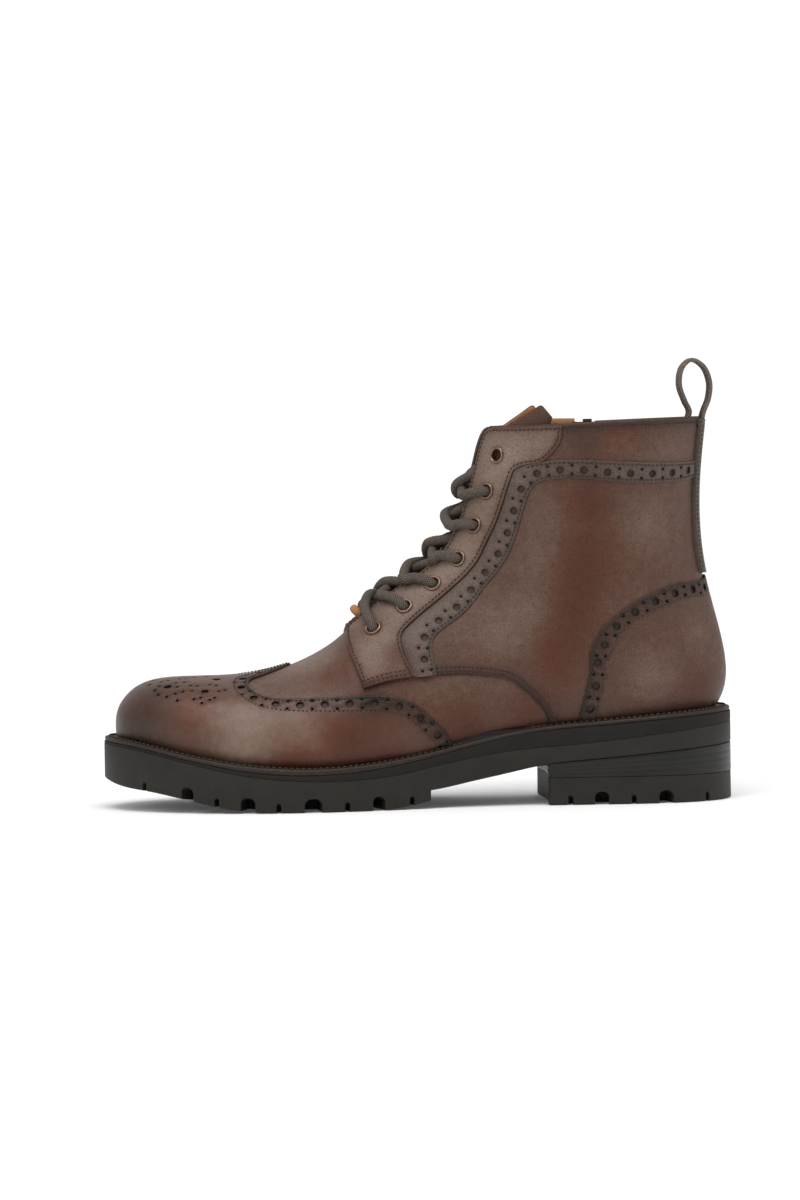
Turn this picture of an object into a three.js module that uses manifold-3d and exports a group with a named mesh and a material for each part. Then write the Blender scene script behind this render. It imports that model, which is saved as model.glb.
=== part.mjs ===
// A lace-up ankle boot with a lugged rubber sole, a winged toe cap and a side zip.
// Millimetres. X runs from the toe (-X) to the heel (+X), -Y is the outer side of this
// left boot, +Z is up. The origin is under the middle of the sole, on the ground.
import * as THREE from 'three';
import * as BufferGeometryUtils from 'three/addons/utils/BufferGeometryUtils.js';
import Module from 'manifold-3d';

const wasm = await Module();
wasm.setup();

// Driving dimensions
const SOLE_LENGTH = 306;
const SOLE_WIDTH = 108;
const BALL_WIDTH = 98.6;
const COLLAR_HEIGHT = 185.2;
const WALL = 1.6;
const GAP = 0.3;
const QUARTER_THICK = 0.9;
const OVERLAY_THICK = 1.1;
const BAND_THICK = 0.8;
const LACE_RADIUS = 2.6;
const TONGUE_THICK = 1.8;
const INSOLE_THICK = 2.6;

// How far the cutters of the panels reach past a skin, and their steps across a panel
const CUTTER_REACH = 2.5;
const PANEL_STEPS = 3;
const QUARTER_STEPS = 10;
// How far the cutters run past the facing edge and the welt in share, and past the collar
// in sections
const PAST_FACING = 0.03;
const PAST_WELT = 0.06;
const PAST_COLLAR = 0.4;

// The section and outline tables below hold a boot of these sizes and scale from them
const TABLE_LENGTH = 306;
const TABLE_SOLE_WIDTH = 108;
const TABLE_BALL_WIDTH = 98.6;
const TABLE_HEIGHT = 185.2;
const alongScale = SOLE_LENGTH / TABLE_LENGTH;
const ballScale = BALL_WIDTH / TABLE_BALL_WIDTH;
const soleScale = SOLE_WIDTH / TABLE_SOLE_WIDTH;
const upScale = COLLAR_HEIGHT / TABLE_HEIGHT;
const along = (x) => x * alongScale;
const up = (z) => z * upScale;

const LATERAL = -1;
const MEDIAL = 1;

// The last: a fan of sections from the toe tip to the collar. Each one runs from a point
// of the top line to a point under the foot. Ridge is the sideways place of the top line,
// outer and inner the half widths, widest the share of the height where they are reached,
// and the last four are the powers that shape the curve above and below the widest place.
const LAST_COLUMNS = ['topX', 'topZ', 'footX', 'footZ', 'ridge', 'outer', 'inner', 'widest',
  'topFlare', 'topDome', 'footFlare', 'footDrop'];
const LAST = [
  [-145.2, 31.5, -145.0, 31.3, 5.0, 0.5, 9.5, 0.36, 0.95, 0.90, 0.26, 0.80],
  [-145.9, 38.5, -141.5, 28.6, 5.0, 7.0, 17.5, 0.36, 0.92, 0.84, 0.26, 0.80],
  [-145.5, 45.0, -136.5, 27.6, 5.0, 14.0, 24.0, 0.36, 0.90, 0.80, 0.26, 0.80],
  [-143.3, 50.4, -131.0, 26.6, 4.8, 20.0, 28.8, 0.36, 0.89, 0.78, 0.26, 0.80],
  [-139.0, 55.4, -125.0, 25.4, 4.6, 25.8, 33.2, 0.36, 0.88, 0.77, 0.26, 0.80],
  [-132.8, 59.2, -118.5, 24.1, 4.2, 31.0, 37.0, 0.36, 0.88, 0.77, 0.26, 0.80],
  [-124.5, 61.3, -111.0, 22.6, 3.6, 35.4, 40.2, 0.35, 0.88, 0.78, 0.26, 0.80],
  [-113.5, 62.0, -102.0, 21.0, 2.8, 39.6, 43.2, 0.34, 0.89, 0.80, 0.26, 0.80],
  [-99.0, 62.2, -91.0, 19.3, 2.0, 43.6, 46.0, 0.33, 0.91, 0.84, 0.26, 0.80],
  [-83.0, 63.2, -79.0, 18.0, 1.2, 47.0, 48.2, 0.32, 0.94, 0.90, 0.26, 0.80],
  [-66.5, 66.6, -65.5, 17.0, 0.6, 49.0, 49.0, 0.31, 0.97, 0.96, 0.26, 0.80],
  [-51.0, 72.9, -51.0, 16.7, 0.2, 49.4, 48.2, 0.30, 1.00, 1.02, 0.26, 0.80],
  [-38.0, 81.2, -35.5, 17.4, 0.0, 48.4, 46.0, 0.28, 1.00, 1.08, 0.26, 0.80],
  [-27.0, 91.6, -17.0, 19.5, 0.0, 45.8, 42.6, 0.27, 1.00, 1.12, 0.27, 0.80],
  [-16.8, 100.8, 6.0, 23.7, 0.0, 42.2, 39.4, 0.27, 1.00, 1.14, 0.28, 0.80],
  [-7.6, 107.6, 32.0, 29.8, 0.0, 39.2, 37.4, 0.28, 1.00, 1.14, 0.30, 0.80],
  [0.2, 113.4, 62.0, 34.3, 0.0, 37.2, 36.6, 0.30, 1.00, 1.13, 0.33, 0.80],
  [5.6, 118.6, 92.0, 36.8, 0.0, 36.4, 36.4, 0.33, 1.00, 1.10, 0.38, 0.82],
  [9.2, 122.8, 118.0, 38.6, 0.0, 36.0, 36.4, 0.37, 1.00, 1.07, 0.48, 0.86],
  [12.2, 127.0, 136.5, 41.8, 0.0, 35.6, 36.2, 0.41, 1.00, 1.04, 0.64, 0.92],
  [14.8, 131.2, 145.3, 49.0, 0.0, 35.2, 36.0, 0.44, 1.00, 1.02, 0.80, 0.96],
  [17.4, 135.8, 148.6, 60.6, 0.0, 34.8, 35.6, 0.46, 1.00, 1.00, 0.92, 0.99],
  [20.0, 141.0, 147.0, 76.0, 0.0, 34.4, 35.0, 0.47, 1.00, 1.00, 1.00, 1.00],
  [22.6, 147.0, 142.6, 94.0, 0.0, 34.0, 34.4, 0.48, 1.00, 1.00, 1.00, 1.00],
  [25.4, 154.8, 137.9, 115.0, 0.0, 33.8, 33.9, 0.49, 1.00, 1.00, 1.00, 1.00],
  [28.2, 164.0, 135.9, 138.0, 0.0, 34.4, 34.4, 0.50, 1.00, 1.00, 1.00, 1.00],
  [31.0, 173.6, 136.7, 161.0, 0.0, 35.6, 35.6, 0.50, 1.00, 1.00, 1.00, 1.00],
  [33.9, 181.8, 139.4, 185.2, 0.0, 37.0, 37.0, 0.50, 1.00, 1.00, 1.00, 1.00],
];
const COLLAR = LAST.length - 1;
// The share of a section's length where its upper curve meets its lower one
const WIDEST_SHARE = 0.6;

// Heights along the sole: the welt's top, the underside of the midsole, the rubber between
// the lugs, the ground line of the lugs, and the thickness of the welt
const SOLE_COLUMNS = ['x', 'welt', 'weltThick', 'mid', 'web', 'ground'];
const SOLE_HEIGHTS = [
  [-156, 35.4, 2.2, 32.0, 22.5, 16.0],
  [-147, 34.4, 2.2, 31.0, 19.5, 12.4],
  [-134, 32.3, 2.2, 28.9, 17.0, 10.2],
  [-118, 28.5, 2.3, 25.0, 13.8, 7.2],
  [-102, 25.2, 2.5, 21.2, 10.6, 3.6],
  [-88, 22.9, 2.8, 18.2, 8.3, 1.1],
  [-72, 21.3, 3.0, 15.9, 7.2, 0.05],
  [-56, 20.5, 3.0, 14.8, 7.0, 0],
  [-40, 20.9, 3.0, 14.6, 7.0, 0],
  [-24, 22.3, 2.9, 15.4, 7.2, 0.05],
  [-10, 24.2, 2.7, 17.1, 7.8, 1.1],
  [6, 27.4, 2.5, 20.4, 9.0, 4.0],
  [22, 31.0, 2.3, 23.4, 12.0, 7.0],
  [40, 34.9, 2.2, 26.2, 15.6, 10.0],
  [58, 37.8, 2.2, 27.9, 19.2, 13.0],
  [80, 39.7, 2.2, 29.6, 21.4, 13.4],
  [104, 41.5, 2.2, 32.2, 23.4, 13.4],
  [130, 43.5, 2.2, 35.2, 25.6, 13.4],
  [156, 45.2, 2.2, 38.2, 27.6, 13.4],
];

// The edge of the sole seen from above, from the toe tip round the outer side to the heel
// and back along the inner side, as x and y
const OUTLINE = [
  [-153.0, 6.0],
  [-150.6, -6.5],
  [-144.4, -18.0],
  [-134.4, -29.2],
  [-120.0, -39.4],
  [-101.0, -47.6],
  [-78.0, -52.8],
  [-54.0, -54.0],
  [-30.0, -51.0],
  [-4.0, -44.6],
  [24.0, -38.6],
  [52.0, -36.4],
  [80.0, -37.0],
  [106.0, -37.6],
  [130.0, -33.0],
  [146.4, -20.0],
  [153.0, 0.0],
  [146.4, 20.4],
  [130.0, 33.6],
  [106.0, 38.2],
  [80.0, 37.4],
  [52.0, 35.4],
  [24.0, 36.2],
  [-4.0, 41.6],
  [-30.0, 49.0],
  [-54.0, 53.6],
  [-78.0, 54.0],
  [-101.0, 51.4],
  [-120.0, 46.4],
  [-134.4, 38.8],
  [-144.4, 29.4],
  [-150.6, 18.6],
];

// Notches cut into the side of the lugs: x, width, depth and how far they reach inward
const NOTCHES = [
  [-133.8, 2.4, 4.0, 8],
  [-113.3, 6.2, 6.0, 20],
  [-99.4, 2.4, 4.0, 8],
  [-84.6, 7.2, 6.4, 21],
  [-69.9, 2.4, 4.2, 8],
  [-53.3, 8.4, 6.4, 21],
  [-36.9, 2.6, 4.2, 8],
  [-21.6, 6.2, 6.4, 20],
  [-5.6, 2.4, 4.2, 8],
  [71.3, 2.4, 4.2, 7],
  [86.4, 6.8, 6.0, 14],
  [101.9, 2.4, 4.2, 7],
  [117.8, 7.2, 6.0, 14],
  [138.6, 2.4, 4.2, 7],
];
// Rear end of the forefoot's lugs, front face of the heel, top of the heel lift
const LUG_END = along(4.7);
const HEEL_BREAST = along(60.5);
const LIFT_TOP = 13.2;

// Crosses of the tread in the hollow middle of the forefoot
const TREAD_BARS = [-112, -91, -69, -46, -22];
const HOLLOW_INSET = 22;
const BAR_HALF_WIDTH = 3.5;
const BAR_HALF_LENGTH = 21;
const SPINE_HALF_LENGTH = 8;
const BAR_ABOVE_GROUND = 0.4;

// Facing edge: half the width of the throat, as a share of the section
const THROAT_START = 12.45;
const FACING_COLUMNS = ['row', 'share'];
const FACING = [
  [0, 0.050],
  [12, 0.055],
  [13, 0.088],
  [15, 0.105],
  [18, 0.118],
  [22, 0.122],
  [25, 0.118],
  [26.3, 0.115],
  [26.7, 0.128],
  [27, 0.165],
  [29, 0.165],
];

// Wing tip: how far back the toe cap reaches, against the share from the top line (0) to
// the welt (1)
const WING_COLUMNS = ['share', 'row'];
const WING = [
  [0.00, 10.50],
  [0.12, 9.55],
  [0.22, 9.02],
  [0.32, 9.05],
  [0.41, 9.50],
  [0.46, 10.30],
  [0.505, 11.35],
  [0.54, 12.40],
  [0.594, 13.35],
  [0.655, 13.90],
  [0.73, 14.15],
  [0.84, 14.35],
  [1.00, 14.50],
];

// Panels are ruled between two edges. A share of 1 stands for the welt, or for the back
// seam where the section no longer reaches the welt.
const BESIDE_SEAM = 0.998;
const PANEL_COLUMNS = ['rowA', 'shareA', 'rowB', 'shareB'];
// Quarter: from the facing edge (A, its share is worked out) to its lower edge
const QUARTER = [
  [12.45, 0, 12.72, 0.418],
  [12.90, 0, 13.45, 0.432],
  [13.40, 0, 14.15, 0.455],
  [13.90, 0, 14.70, 0.480],
  [14.50, 0, 15.25, 0.510],
  [15.20, 0, 15.70, 0.545],
  [15.80, 0, 16.00, 0.590],
  [16.40, 0, 16.12, 0.680],
  [17.00, 0, 16.20, 0.770],
  [17.60, 0, 16.60, 1],
  [18.20, 0, 17.30, 1],
  [18.80, 0, 18.20, 1],
  [19.50, 0, 18.90, 1],
  [20.20, 0, 19.50, 1],
  [21.00, 0, 20.40, 1],
  [22.00, 0, 21.60, 1],
  [23.20, 0, 23.00, 1],
  [24.60, 0, 24.60, 1],
  [26.00, 0, 26.00, 1],
  [26.70, 0, 26.70, 1],
  [27.00, 0, 27.00, 1],
];
// Eyestay: from the facing edge (A) to its rear edge, down to the quarter's lower edge
const EYESTAY = [
  [12.48, 0, 12.75, 0.405],
  [12.90, 0, 13.45, 0.420],
  [13.30, 0, 13.98, 0.436],
  [13.70, 0, 13.98, 0.365],
  [14.20, 0, 14.20, 0.310],
  [15.00, 0, 14.95, 0.280],
  [16.40, 0, 16.40, 0.257],
  [18.80, 0, 19.00, 0.250],
  [20.60, 0, 20.60, 0.262],
  [22.40, 0, 22.40, 0.283],
  [24.00, 0, 24.20, 0.310],
  [24.80, 0, 24.95, 0.322],
  [25.20, 0, 25.36, 0.340],
  [25.60, 0, 25.62, 0.425],
  [26.10, 0, 26.10, 0.465],
  [26.60, 0, 26.60, 0.480],
  [27.00, 0, 27.00, 0.478],
];
// Punched band: along the collar, round the corner and down behind the eyestay
const BAND = [
  [26.15, 0.915, 25.80, 0.915],
  [26.04, 0.740, 25.60, 0.740],
  [25.96, 0.665, 25.48, 0.665],
  [25.92, 0.572, 25.30, 0.572],
  [25.76, 0.500, 25.15, 0.500],
  [25.50, 0.425, 24.98, 0.455],
  [25.22, 0.360, 24.72, 0.418],
  [24.80, 0.338, 24.25, 0.394],
  [23.70, 0.320, 23.20, 0.372],
  [21.70, 0.290, 21.10, 0.340],
  [19.20, 0.266, 18.20, 0.314],
  [16.80, 0.268, 16.30, 0.338],
  [15.10, 0.294, 15.20, 0.364],
  [14.36, 0.320, 14.86, 0.395],
  [14.18, 0.370, 14.66, 0.450],
];
// Stations of the band where the zip interrupts it on the inner side
const BAND_ZIP_REAR = 2;
const BAND_ZIP_FRONT = 3;
// Heel counter: from its outer edge (A) to the welt or the back seam
const COUNTER = [
  [16.64, 0.785, 16.70, 1],
  [16.95, 0.715, 17.20, 1],
  [17.55, 0.645, 18.00, 1],
  [18.45, 0.600, 18.70, 1],
  [19.45, 0.592, 19.30, 1],
  [20.30, 0.605, 20.00, 1],
  [21.10, 0.632, 20.80, 1],
  [22.00, 0.680, 21.60, 1],
  [22.80, 0.750, 22.40, 1],
  [23.30, 0.830, 23.00, 1],
  [23.60, 0.920, 23.45, 1],
  [23.70, 0.985, 23.68, 1],
];
// Backstay: the strip over the back seam, between the counter and the collar
const BACKSTAY = [
  [23.92, 0.925, 23.98, 1],
  [24.80, 0.925, 24.80, 1],
  [25.90, 0.925, 25.90, 1],
  [27.00, 0.925, 27.00, 1],
];

// Tongue: half its width as a share of the section
const TONGUE_COLUMNS = ['row', 'share'];
const TONGUE = [
  [11.7, 0.16],
  [12.6, 0.21],
  [14, 0.25],
  [17, 0.28],
  [21, 0.31],
  [24, 0.34],
  [27, 0.385],
  [28, 0.385],
];
// How far the tongue stands up over the collar, in sections, against its own half width
const TONGUE_TOP_COLUMNS = ['across', 'rise'];
const TONGUE_TOP = [
  [0, 0.02],
  [0.5, 0.16],
  [0.84, 0.70],
  [1, 0.22],
];

// Eyelets of one facing, from the throat up: row and share
const EYELETS = [
  [13.35, 0.225],
  [14.65, 0.220],
  [16.15, 0.200],
  [18.55, 0.195],
  [21.75, 0.205],
  [24.00, 0.228],
  [25.65, 0.245],
];
const EYELET_OUTER = 4.0;
const EYELET_BORE = 2.9;
const EYELET_HEIGHT = 1.0;
const EYELET_TAPER = 0.94;
const EYELET_SIDES = 8;

// Zip on the inner side, seen from the side: its place, then the widths of its slot, tape
// and chain, and how far below the collar the tape and chain end
const ZIP_X = along(88);
const ZIP_BOTTOM = up(94);
const SLIDER_Z = up(172);
const ZIP_SLOT = 9.6;
const ZIP_TAPE = 18;
const ZIP_CHAIN = 5;
const TAPE_BELOW_COLLAR = 3.2;
const CHAIN_BELOW_COLLAR = 4.2;
const TAPE_THICK = 1;
const TAPE_PAST_SLOT = 3;

// Slider and its pull tab
const SLIDER_WIDTH = 8.4;
const SLIDER_LENGTH = 12;
const SLIDER_THICK = 2.5;
const EAR_THICK = 1.2;
const EAR_APART = 5.2;
const EAR_HALF_LENGTH = 1.8;
const PIN_RADIUS = 0.8;
const PIN_OUT = 5.6;
const PULL_LENGTH = 20;
const PULL_HALF_WIDTH = 2.8;
const PULL_NECK = 1.6;
const PULL_THICK = 1.6;
const EYE_RADIUS = 2.2;
const EYE_WIDTH = 3.2;

// Pull loop at the back: centre line seen from the side, from inside the collar round, as
// x and z
const LOOP = [
  [130.9, 172.0],
  [131.4, 180.0],
  [134.8, 188.2],
  [132.6, 193.6],
  [130.1, 201.6],
  [131.6, 210.0],
  [136.2, 213.6],
  [141.8, 210.4],
  [144.9, 202.4],
  [144.2, 194.6],
  [142.0, 189.0],
  [141.2, 186.2],
];
const LOOP_THICK = 2.0;
const LOOP_WIDTH = 17;
const LOOP_STEPS = 22;

// Colours
const LEATHER = { color: 0x4a3028, roughness: 0.45, metalness: 0 };
const LEATHER_DARK = { color: 0x33241f, roughness: 0.5, metalness: 0 };
const LINING = { color: 0x8a5a35, roughness: 0.75, metalness: 0 };
const RUBBER = { color: 0x1b1512, roughness: 0.75, metalness: 0 };
const WELTING = { color: 0x241814, roughness: 0.6, metalness: 0 };
const CORD = { color: 0x3a302c, roughness: 0.9, metalness: 0 };
const BRASS = { color: 0x7a6048, roughness: 0.4, metalness: 0.9 };
const WEBBING = { color: 0x4c423a, roughness: 0.9, metalness: 0 };
const TAPE = { color: 0x241c19, roughness: 0.9, metalness: 0 };

// Curves through tables

// Natural cubic spline through the columns of a table, against the column called key
function spline(columns, rows, key) {
  const at = columns.indexOf(key);
  const xs = rows.map((row, i) => (at < 0 ? i : row[at]));
  const count = xs.length;
  const bends = rows[0].map((unused, c) => {
    const upper = new Array(count).fill(0);
    const bend = new Array(count).fill(0);
    for (let i = 1; i < count - 1; i += 1) {
      const before = xs[i] - xs[i - 1];
      const after = xs[i + 1] - xs[i];
      const rise = (rows[i + 1][c] - rows[i][c]) / after - (rows[i][c] - rows[i - 1][c]) / before;
      const pivot = 2 * (before + after) - before * upper[i - 1];
      upper[i] = after / pivot;
      bend[i] = (6 * rise - before * bend[i - 1]) / pivot;
    }
    for (let i = count - 2; i > 0; i -= 1) bend[i] -= upper[i] * bend[i + 1];
    return bend;
  });
  return (x) => {
    let i = 0;
    while (i < count - 2 && x > xs[i + 1]) i += 1;
    const step = xs[i + 1] - xs[i];
    const t = x - xs[i];
    const value = {};
    columns.forEach((name, c) => {
      const from = rows[i][c];
      const to = rows[i + 1][c];
      const bendA = bends[c][i];
      const bendB = bends[c][i + 1];
      const slope = (to - from) / step - (step * (2 * bendA + bendB)) / 6;
      value[name] = from + t * slope + (t * t * bendA) / 2 + (t ** 3 * (bendB - bendA)) / (6 * step);
    });
    return value;
  };
}

// Curve through a table that never overshoots between two rows (key as in spline)
function steadyCurve(columns, rows, key) {
  const at = columns.indexOf(key);
  const xs = rows.map((row, i) => (at < 0 ? i : row[at]));
  const last = xs.length - 1;
  const slopes = rows[0].map((unused, c) => {
    const secants = [];
    for (let i = 0; i < last; i += 1) secants.push((rows[i + 1][c] - rows[i][c]) / (xs[i + 1] - xs[i]));
    return xs.map((x, i) => {
      if (i === 0) return secants[0];
      if (i === last) return secants[last - 1];
      const a = secants[i - 1];
      const b = secants[i];
      return a * b <= 0 ? 0 : (2 * a * b) / (a + b);
    });
  });
  return (x) => {
    const clamped = Math.min(Math.max(x, xs[0]), xs[last]);
    let i = 0;
    while (i < last - 1 && clamped > xs[i + 1]) i += 1;
    const step = xs[i + 1] - xs[i];
    const t = (clamped - xs[i]) / step;
    const value = {};
    columns.forEach((name, c) => {
      const from = rows[i][c];
      const to = rows[i + 1][c];
      value[name] = from * (1 + 2 * t) * (1 - t) ** 2 + to * t * t * (3 - 2 * t)
        + slopes[c][i] * step * t * (1 - t) ** 2 - slopes[c][i + 1] * step * t * t * (1 - t);
    });
    return value;
  };
}

const lastAt = spline(LAST_COLUMNS, LAST, 'row');
const soleAt = spline(SOLE_COLUMNS, SOLE_HEIGHTS, 'x');
const facingAt = steadyCurve(FACING_COLUMNS, FACING, 'row');
const wingAt = steadyCurve(WING_COLUMNS, WING, 'share');
const tongueAt = steadyCurve(TONGUE_COLUMNS, TONGUE, 'row');
const tongueTopAt = steadyCurve(TONGUE_TOP_COLUMNS, TONGUE_TOP, 'across');

const weltTop = (x) => up(soleAt(x / alongScale).welt);
const weltBottom = (x) => weltTop(x) - soleAt(x / alongScale).weltThick;
const midBottom = (x) => up(soleAt(x / alongScale).mid);
const webBottom = (x) => up(soleAt(x / alongScale).web);
const groundLine = (x) => up(Math.max(0, soleAt(x / alongScale).ground));

// The upper's own surface

// Point of the last's surface: row counts sections from the toe, share runs from the top
// line (0) down the outer side (-1) or the inner side (+1)
function lastPoint(row, share) {
  if (row > COLLAR) {
    const top = lastPoint(COLLAR, share);
    const below = lastPoint(COLLAR - 0.5, share);
    return top.clone().add(top.clone().sub(below).multiplyScalar((row - COLLAR) * 2));
  }
  const wrapped = share > 1 ? share - 2 : share < -1 ? share + 2 : share;
  const s = lastAt(Math.max(row, 0));
  const v = Math.abs(wrapped) > 0.9999 ? 1 : Math.abs(wrapped);
  const width = wrapped < 0 ? -s.outer : s.inner;
  let across;
  let height;
  if (v < WIDEST_SHARE) {
    const angle = (v / WIDEST_SHARE) * Math.PI / 2;
    across = Math.sin(angle) ** s.topFlare;
    height = s.widest + (1 - s.widest) * Math.max(0, Math.cos(angle)) ** s.topDome;
  } else {
    const angle = ((v - WIDEST_SHARE) / (1 - WIDEST_SHARE)) * Math.PI / 2;
    across = v === 1 ? 0 : Math.cos(angle) ** s.footFlare;
    height = s.widest * (1 - Math.sin(angle) ** s.footDrop);
  }
  return new THREE.Vector3(
    along(s.footX + height * (s.topX - s.footX)),
    (s.ridge + (width - s.ridge) * across) * ballScale,
    up(s.footZ + height * (s.topZ - s.footZ)),
  );
}

// Outward normal, taken a little behind the toe tip where the sections close up
function lastNormal(row, share) {
  const r = Math.max(row, 0.32);
  const backward = lastPoint(r + 0.05, share).sub(lastPoint(r - 0.05, share));
  const downward = lastPoint(r, share + 0.004).sub(lastPoint(r, share - 0.004));
  return backward.cross(downward).normalize();
}

// Point standing off the last by a height along its normal
function offLast(row, share, height) {
  return lastPoint(row, share).addScaledVector(lastNormal(row, share), height);
}

function bisect(low, high, above) {
  let from = low;
  let to = high;
  for (let i = 0; i < 36; i += 1) {
    const middle = (from + to) / 2;
    if (above(middle)) from = middle;
    else to = middle;
  }
  return from;
}

// Share at which a surface standing off the last comes down to the welt, or 1
function weltShare(row, side, height = 0) {
  const above = (share) => {
    const p = offLast(row, side * share, height);
    return p.z > weltTop(p.x) + GAP;
  };
  if (!above(0.02)) return 0;
  if (above(1)) return 1;
  return bisect(0.02, 1, above);
}

// The rows at which the top line leaves the welt at the toe, and the foot line at the heel
const TOE_ROW = bisect(1, 0, (row) => lastPoint(row, 0).z > weltTop(lastPoint(row, 0).x) + GAP);
const HEEL_ROW = bisect(COLLAR, 18, (row) => lastPoint(row, 1).z > weltTop(lastPoint(row, 1).x) + GAP);

// Shells

// Closed skin between two heights over the last. Each grid is a table of [row, share]
// points; cells that share an edge join, and free edges get a wall.
function shell(grids, inner, outer) {
  const points = [];
  const seen = new Map();
  const vertex = ([row, share]) => {
    const p = offLast(row, share, outer);
    const key = p.toArray().map((c) => Math.round(c * 2000)).join();
    if (!seen.has(key)) {
      seen.set(key, points.length);
      points.push({ top: p, bottom: offLast(row, share, inner), normal: lastNormal(row, share) });
    }
    return seen.get(key);
  };
  const faces = [];
  const addFace = (a, b, c) => {
    if (a === b || b === c || c === a) return;
    const edgeAB = points[b].top.clone().sub(points[a].top);
    const edgeAC = points[c].top.clone().sub(points[a].top);
    const outward = edgeAB.cross(edgeAC).dot(points[a].normal.clone().add(points[c].normal)) > 0;
    faces.push(outward ? [a, b, c] : [a, c, b]);
  };
  grids.forEach((grid) => {
    const ids = grid.map((line) => line.map(vertex));
    for (let i = 0; i + 1 < ids.length; i += 1) {
      for (let j = 0; j + 1 < ids[i].length; j += 1) {
        addFace(ids[i][j], ids[i + 1][j], ids[i + 1][j + 1]);
        addFace(ids[i][j], ids[i + 1][j + 1], ids[i][j + 1]);
      }
    }
  });
  const count = points.length;
  const edges = new Set();
  faces.forEach(([a, b, c]) => [[a, b], [b, c], [c, a]].forEach(([p, q]) => edges.add(`${p},${q}`)));
  const indices = [];
  faces.forEach(([a, b, c]) => {
    indices.push(a, b, c, a + count, c + count, b + count);
    [[a, b], [b, c], [c, a]].forEach(([p, q]) => {
      if (edges.has(`${q},${p}`)) return;
      indices.push(q, p, p + count, q, p + count, q + count);
    });
  });
  return meshOf(points.map((p) => p.top).concat(points.map((p) => p.bottom)), indices);
}

function meshOf(points, indices) {
  const geometry = new THREE.BufferGeometry();
  const flat = new Float32Array(points.flatMap((p) => (p.isVector3 ? p.toArray() : p)));
  geometry.setAttribute('position', new THREE.BufferAttribute(flat, 3));
  geometry.setIndex(indices);
  return geometry;
}

function range(from, to, count) {
  return Array.from({ length: count + 1 }, (unused, i) => from + ((to - from) * i) / count);
}

// Rows of the lattice that the upper and all its panels share
const LATTICE_ROWS = [0, 0.06, 0.3, 0.8, 1.5, 2.4, 3.5, 5, 6.8, 8.7, 10.4]
  .map((row) => TOE_ROW + row)
  .concat([THROAT_START, 13.4, 14.4, 15.2, 16, 17.2, 18.3, 19, 19.3, HEEL_ROW])
  .concat([20.3, 21.4, 22.8, 24.4, 26.1, COLLAR]);
const LATTICE_STEPS = 8;

// Lattice of one side between two rows, from the facing edge to the welt or back seam
function sideLattice(side, from, to) {
  return LATTICE_ROWS.filter((row) => row >= from && row <= to).map((row) => {
    const share = weltShare(row, side);
    const edge = Math.min(facingAt(row).share, share / 3);
    return range(0, 1, LATTICE_STEPS).map((t) => [row, side * (edge + (share - edge) * t)]);
  });
}

const bothSides = (from, to) => [LATERAL, MEDIAL].map((side) => sideLattice(side, from, to));

// Lattice of the strip between the facing edges, forward of the throat
function middleLattice() {
  return LATTICE_ROWS.filter((row) => row <= THROAT_START).map((row) => {
    const edge = Math.min(facingAt(row).share, weltShare(row, LATERAL) / 3);
    return range(-1, 1, 2).map((t) => [row, edge * t]);
  });
}

// Grid of a ruled panel on one side. It runs a little past the facing edge and the welt,
// because it cuts the panel's skin to shape.
function panel(table, side, seam = 1, steps = PANEL_STEPS) {
  const curve = steadyCurve(PANEL_COLUMNS, table, 'station');
  return range(0, table.length - 1, table.length - 1).map((station) => {
    const s = curve(station);
    const shareA = s.shareA === 0 ? facingAt(s.rowA).share - PAST_FACING : s.shareA;
    const toWelt = s.shareB > BESIDE_SEAM;
    const shareB = toWelt ? Math.min(weltShare(s.rowB, side) + PAST_WELT, seam) : s.shareB;
    const rowOf = (row) => (row === COLLAR ? row + PAST_COLLAR : row);
    return range(0, 1, steps).map((t) => [
      rowOf(s.rowA) + (rowOf(s.rowB) - rowOf(s.rowA)) * t,
      side * (shareA + (shareB - shareA) * t),
    ]);
  });
}

// A panel: the skin between two heights over the shared lattice, cut to the panel's grids
function cutPanel(lattices, grids, inner, outer) {
  const skin = toSolid(shell(lattices, inner, outer));
  return skin.intersect(toSolid(shell(grids, inner - CUTTER_REACH, outer + CUTTER_REACH)));
}

// Solids for joining and cutting

function toSolid(geometry) {
  const bare = geometry.index && !geometry.attributes.uv ? geometry : merged(geometry);
  return new wasm.Manifold(new wasm.Mesh({
    numProp: 3,
    vertProperties: new Float32Array(bare.attributes.position.array),
    triVerts: new Uint32Array(bare.index.array),
  }));
}

function merged(geometry) {
  geometry.deleteAttribute('normal');
  geometry.deleteAttribute('uv');
  return BufferGeometryUtils.mergeVertices(geometry, 1e-4);
}

function fromSolid(solid) {
  const mesh = solid.getMesh();
  const geometry = new THREE.BufferGeometry();
  geometry.setAttribute('position', new THREE.BufferAttribute(mesh.vertProperties, 3));
  geometry.setIndex(new THREE.BufferAttribute(mesh.triVerts, 1));
  return geometry;
}

// Block from a low corner to a high corner
function block(low, high) {
  const geometry = new THREE.BoxGeometry(high[0] - low[0], high[1] - low[1], high[2] - low[2]);
  geometry.translate((low[0] + high[0]) / 2, (low[1] + high[1]) / 2, (low[2] + high[2]) / 2);
  return toSolid(geometry);
}

// The sole's layers

const outlineCurve = new THREE.CatmullRomCurve3(
  OUTLINE.map(([x, y]) => new THREE.Vector3(x * alongScale, y * soleScale, 0)),
  true,
  'centripetal',
);

// Point of the sole's edge, moved inward; turn runs 0 to 1 from the toe by the outer side
function soleEdge(turn, inset) {
  const p = outlineCurve.getPoint(turn % 1);
  const tangent = outlineCurve.getTangent(turn % 1);
  return [p.x - tangent.y * inset, p.y + tangent.x * inset];
}

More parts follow.
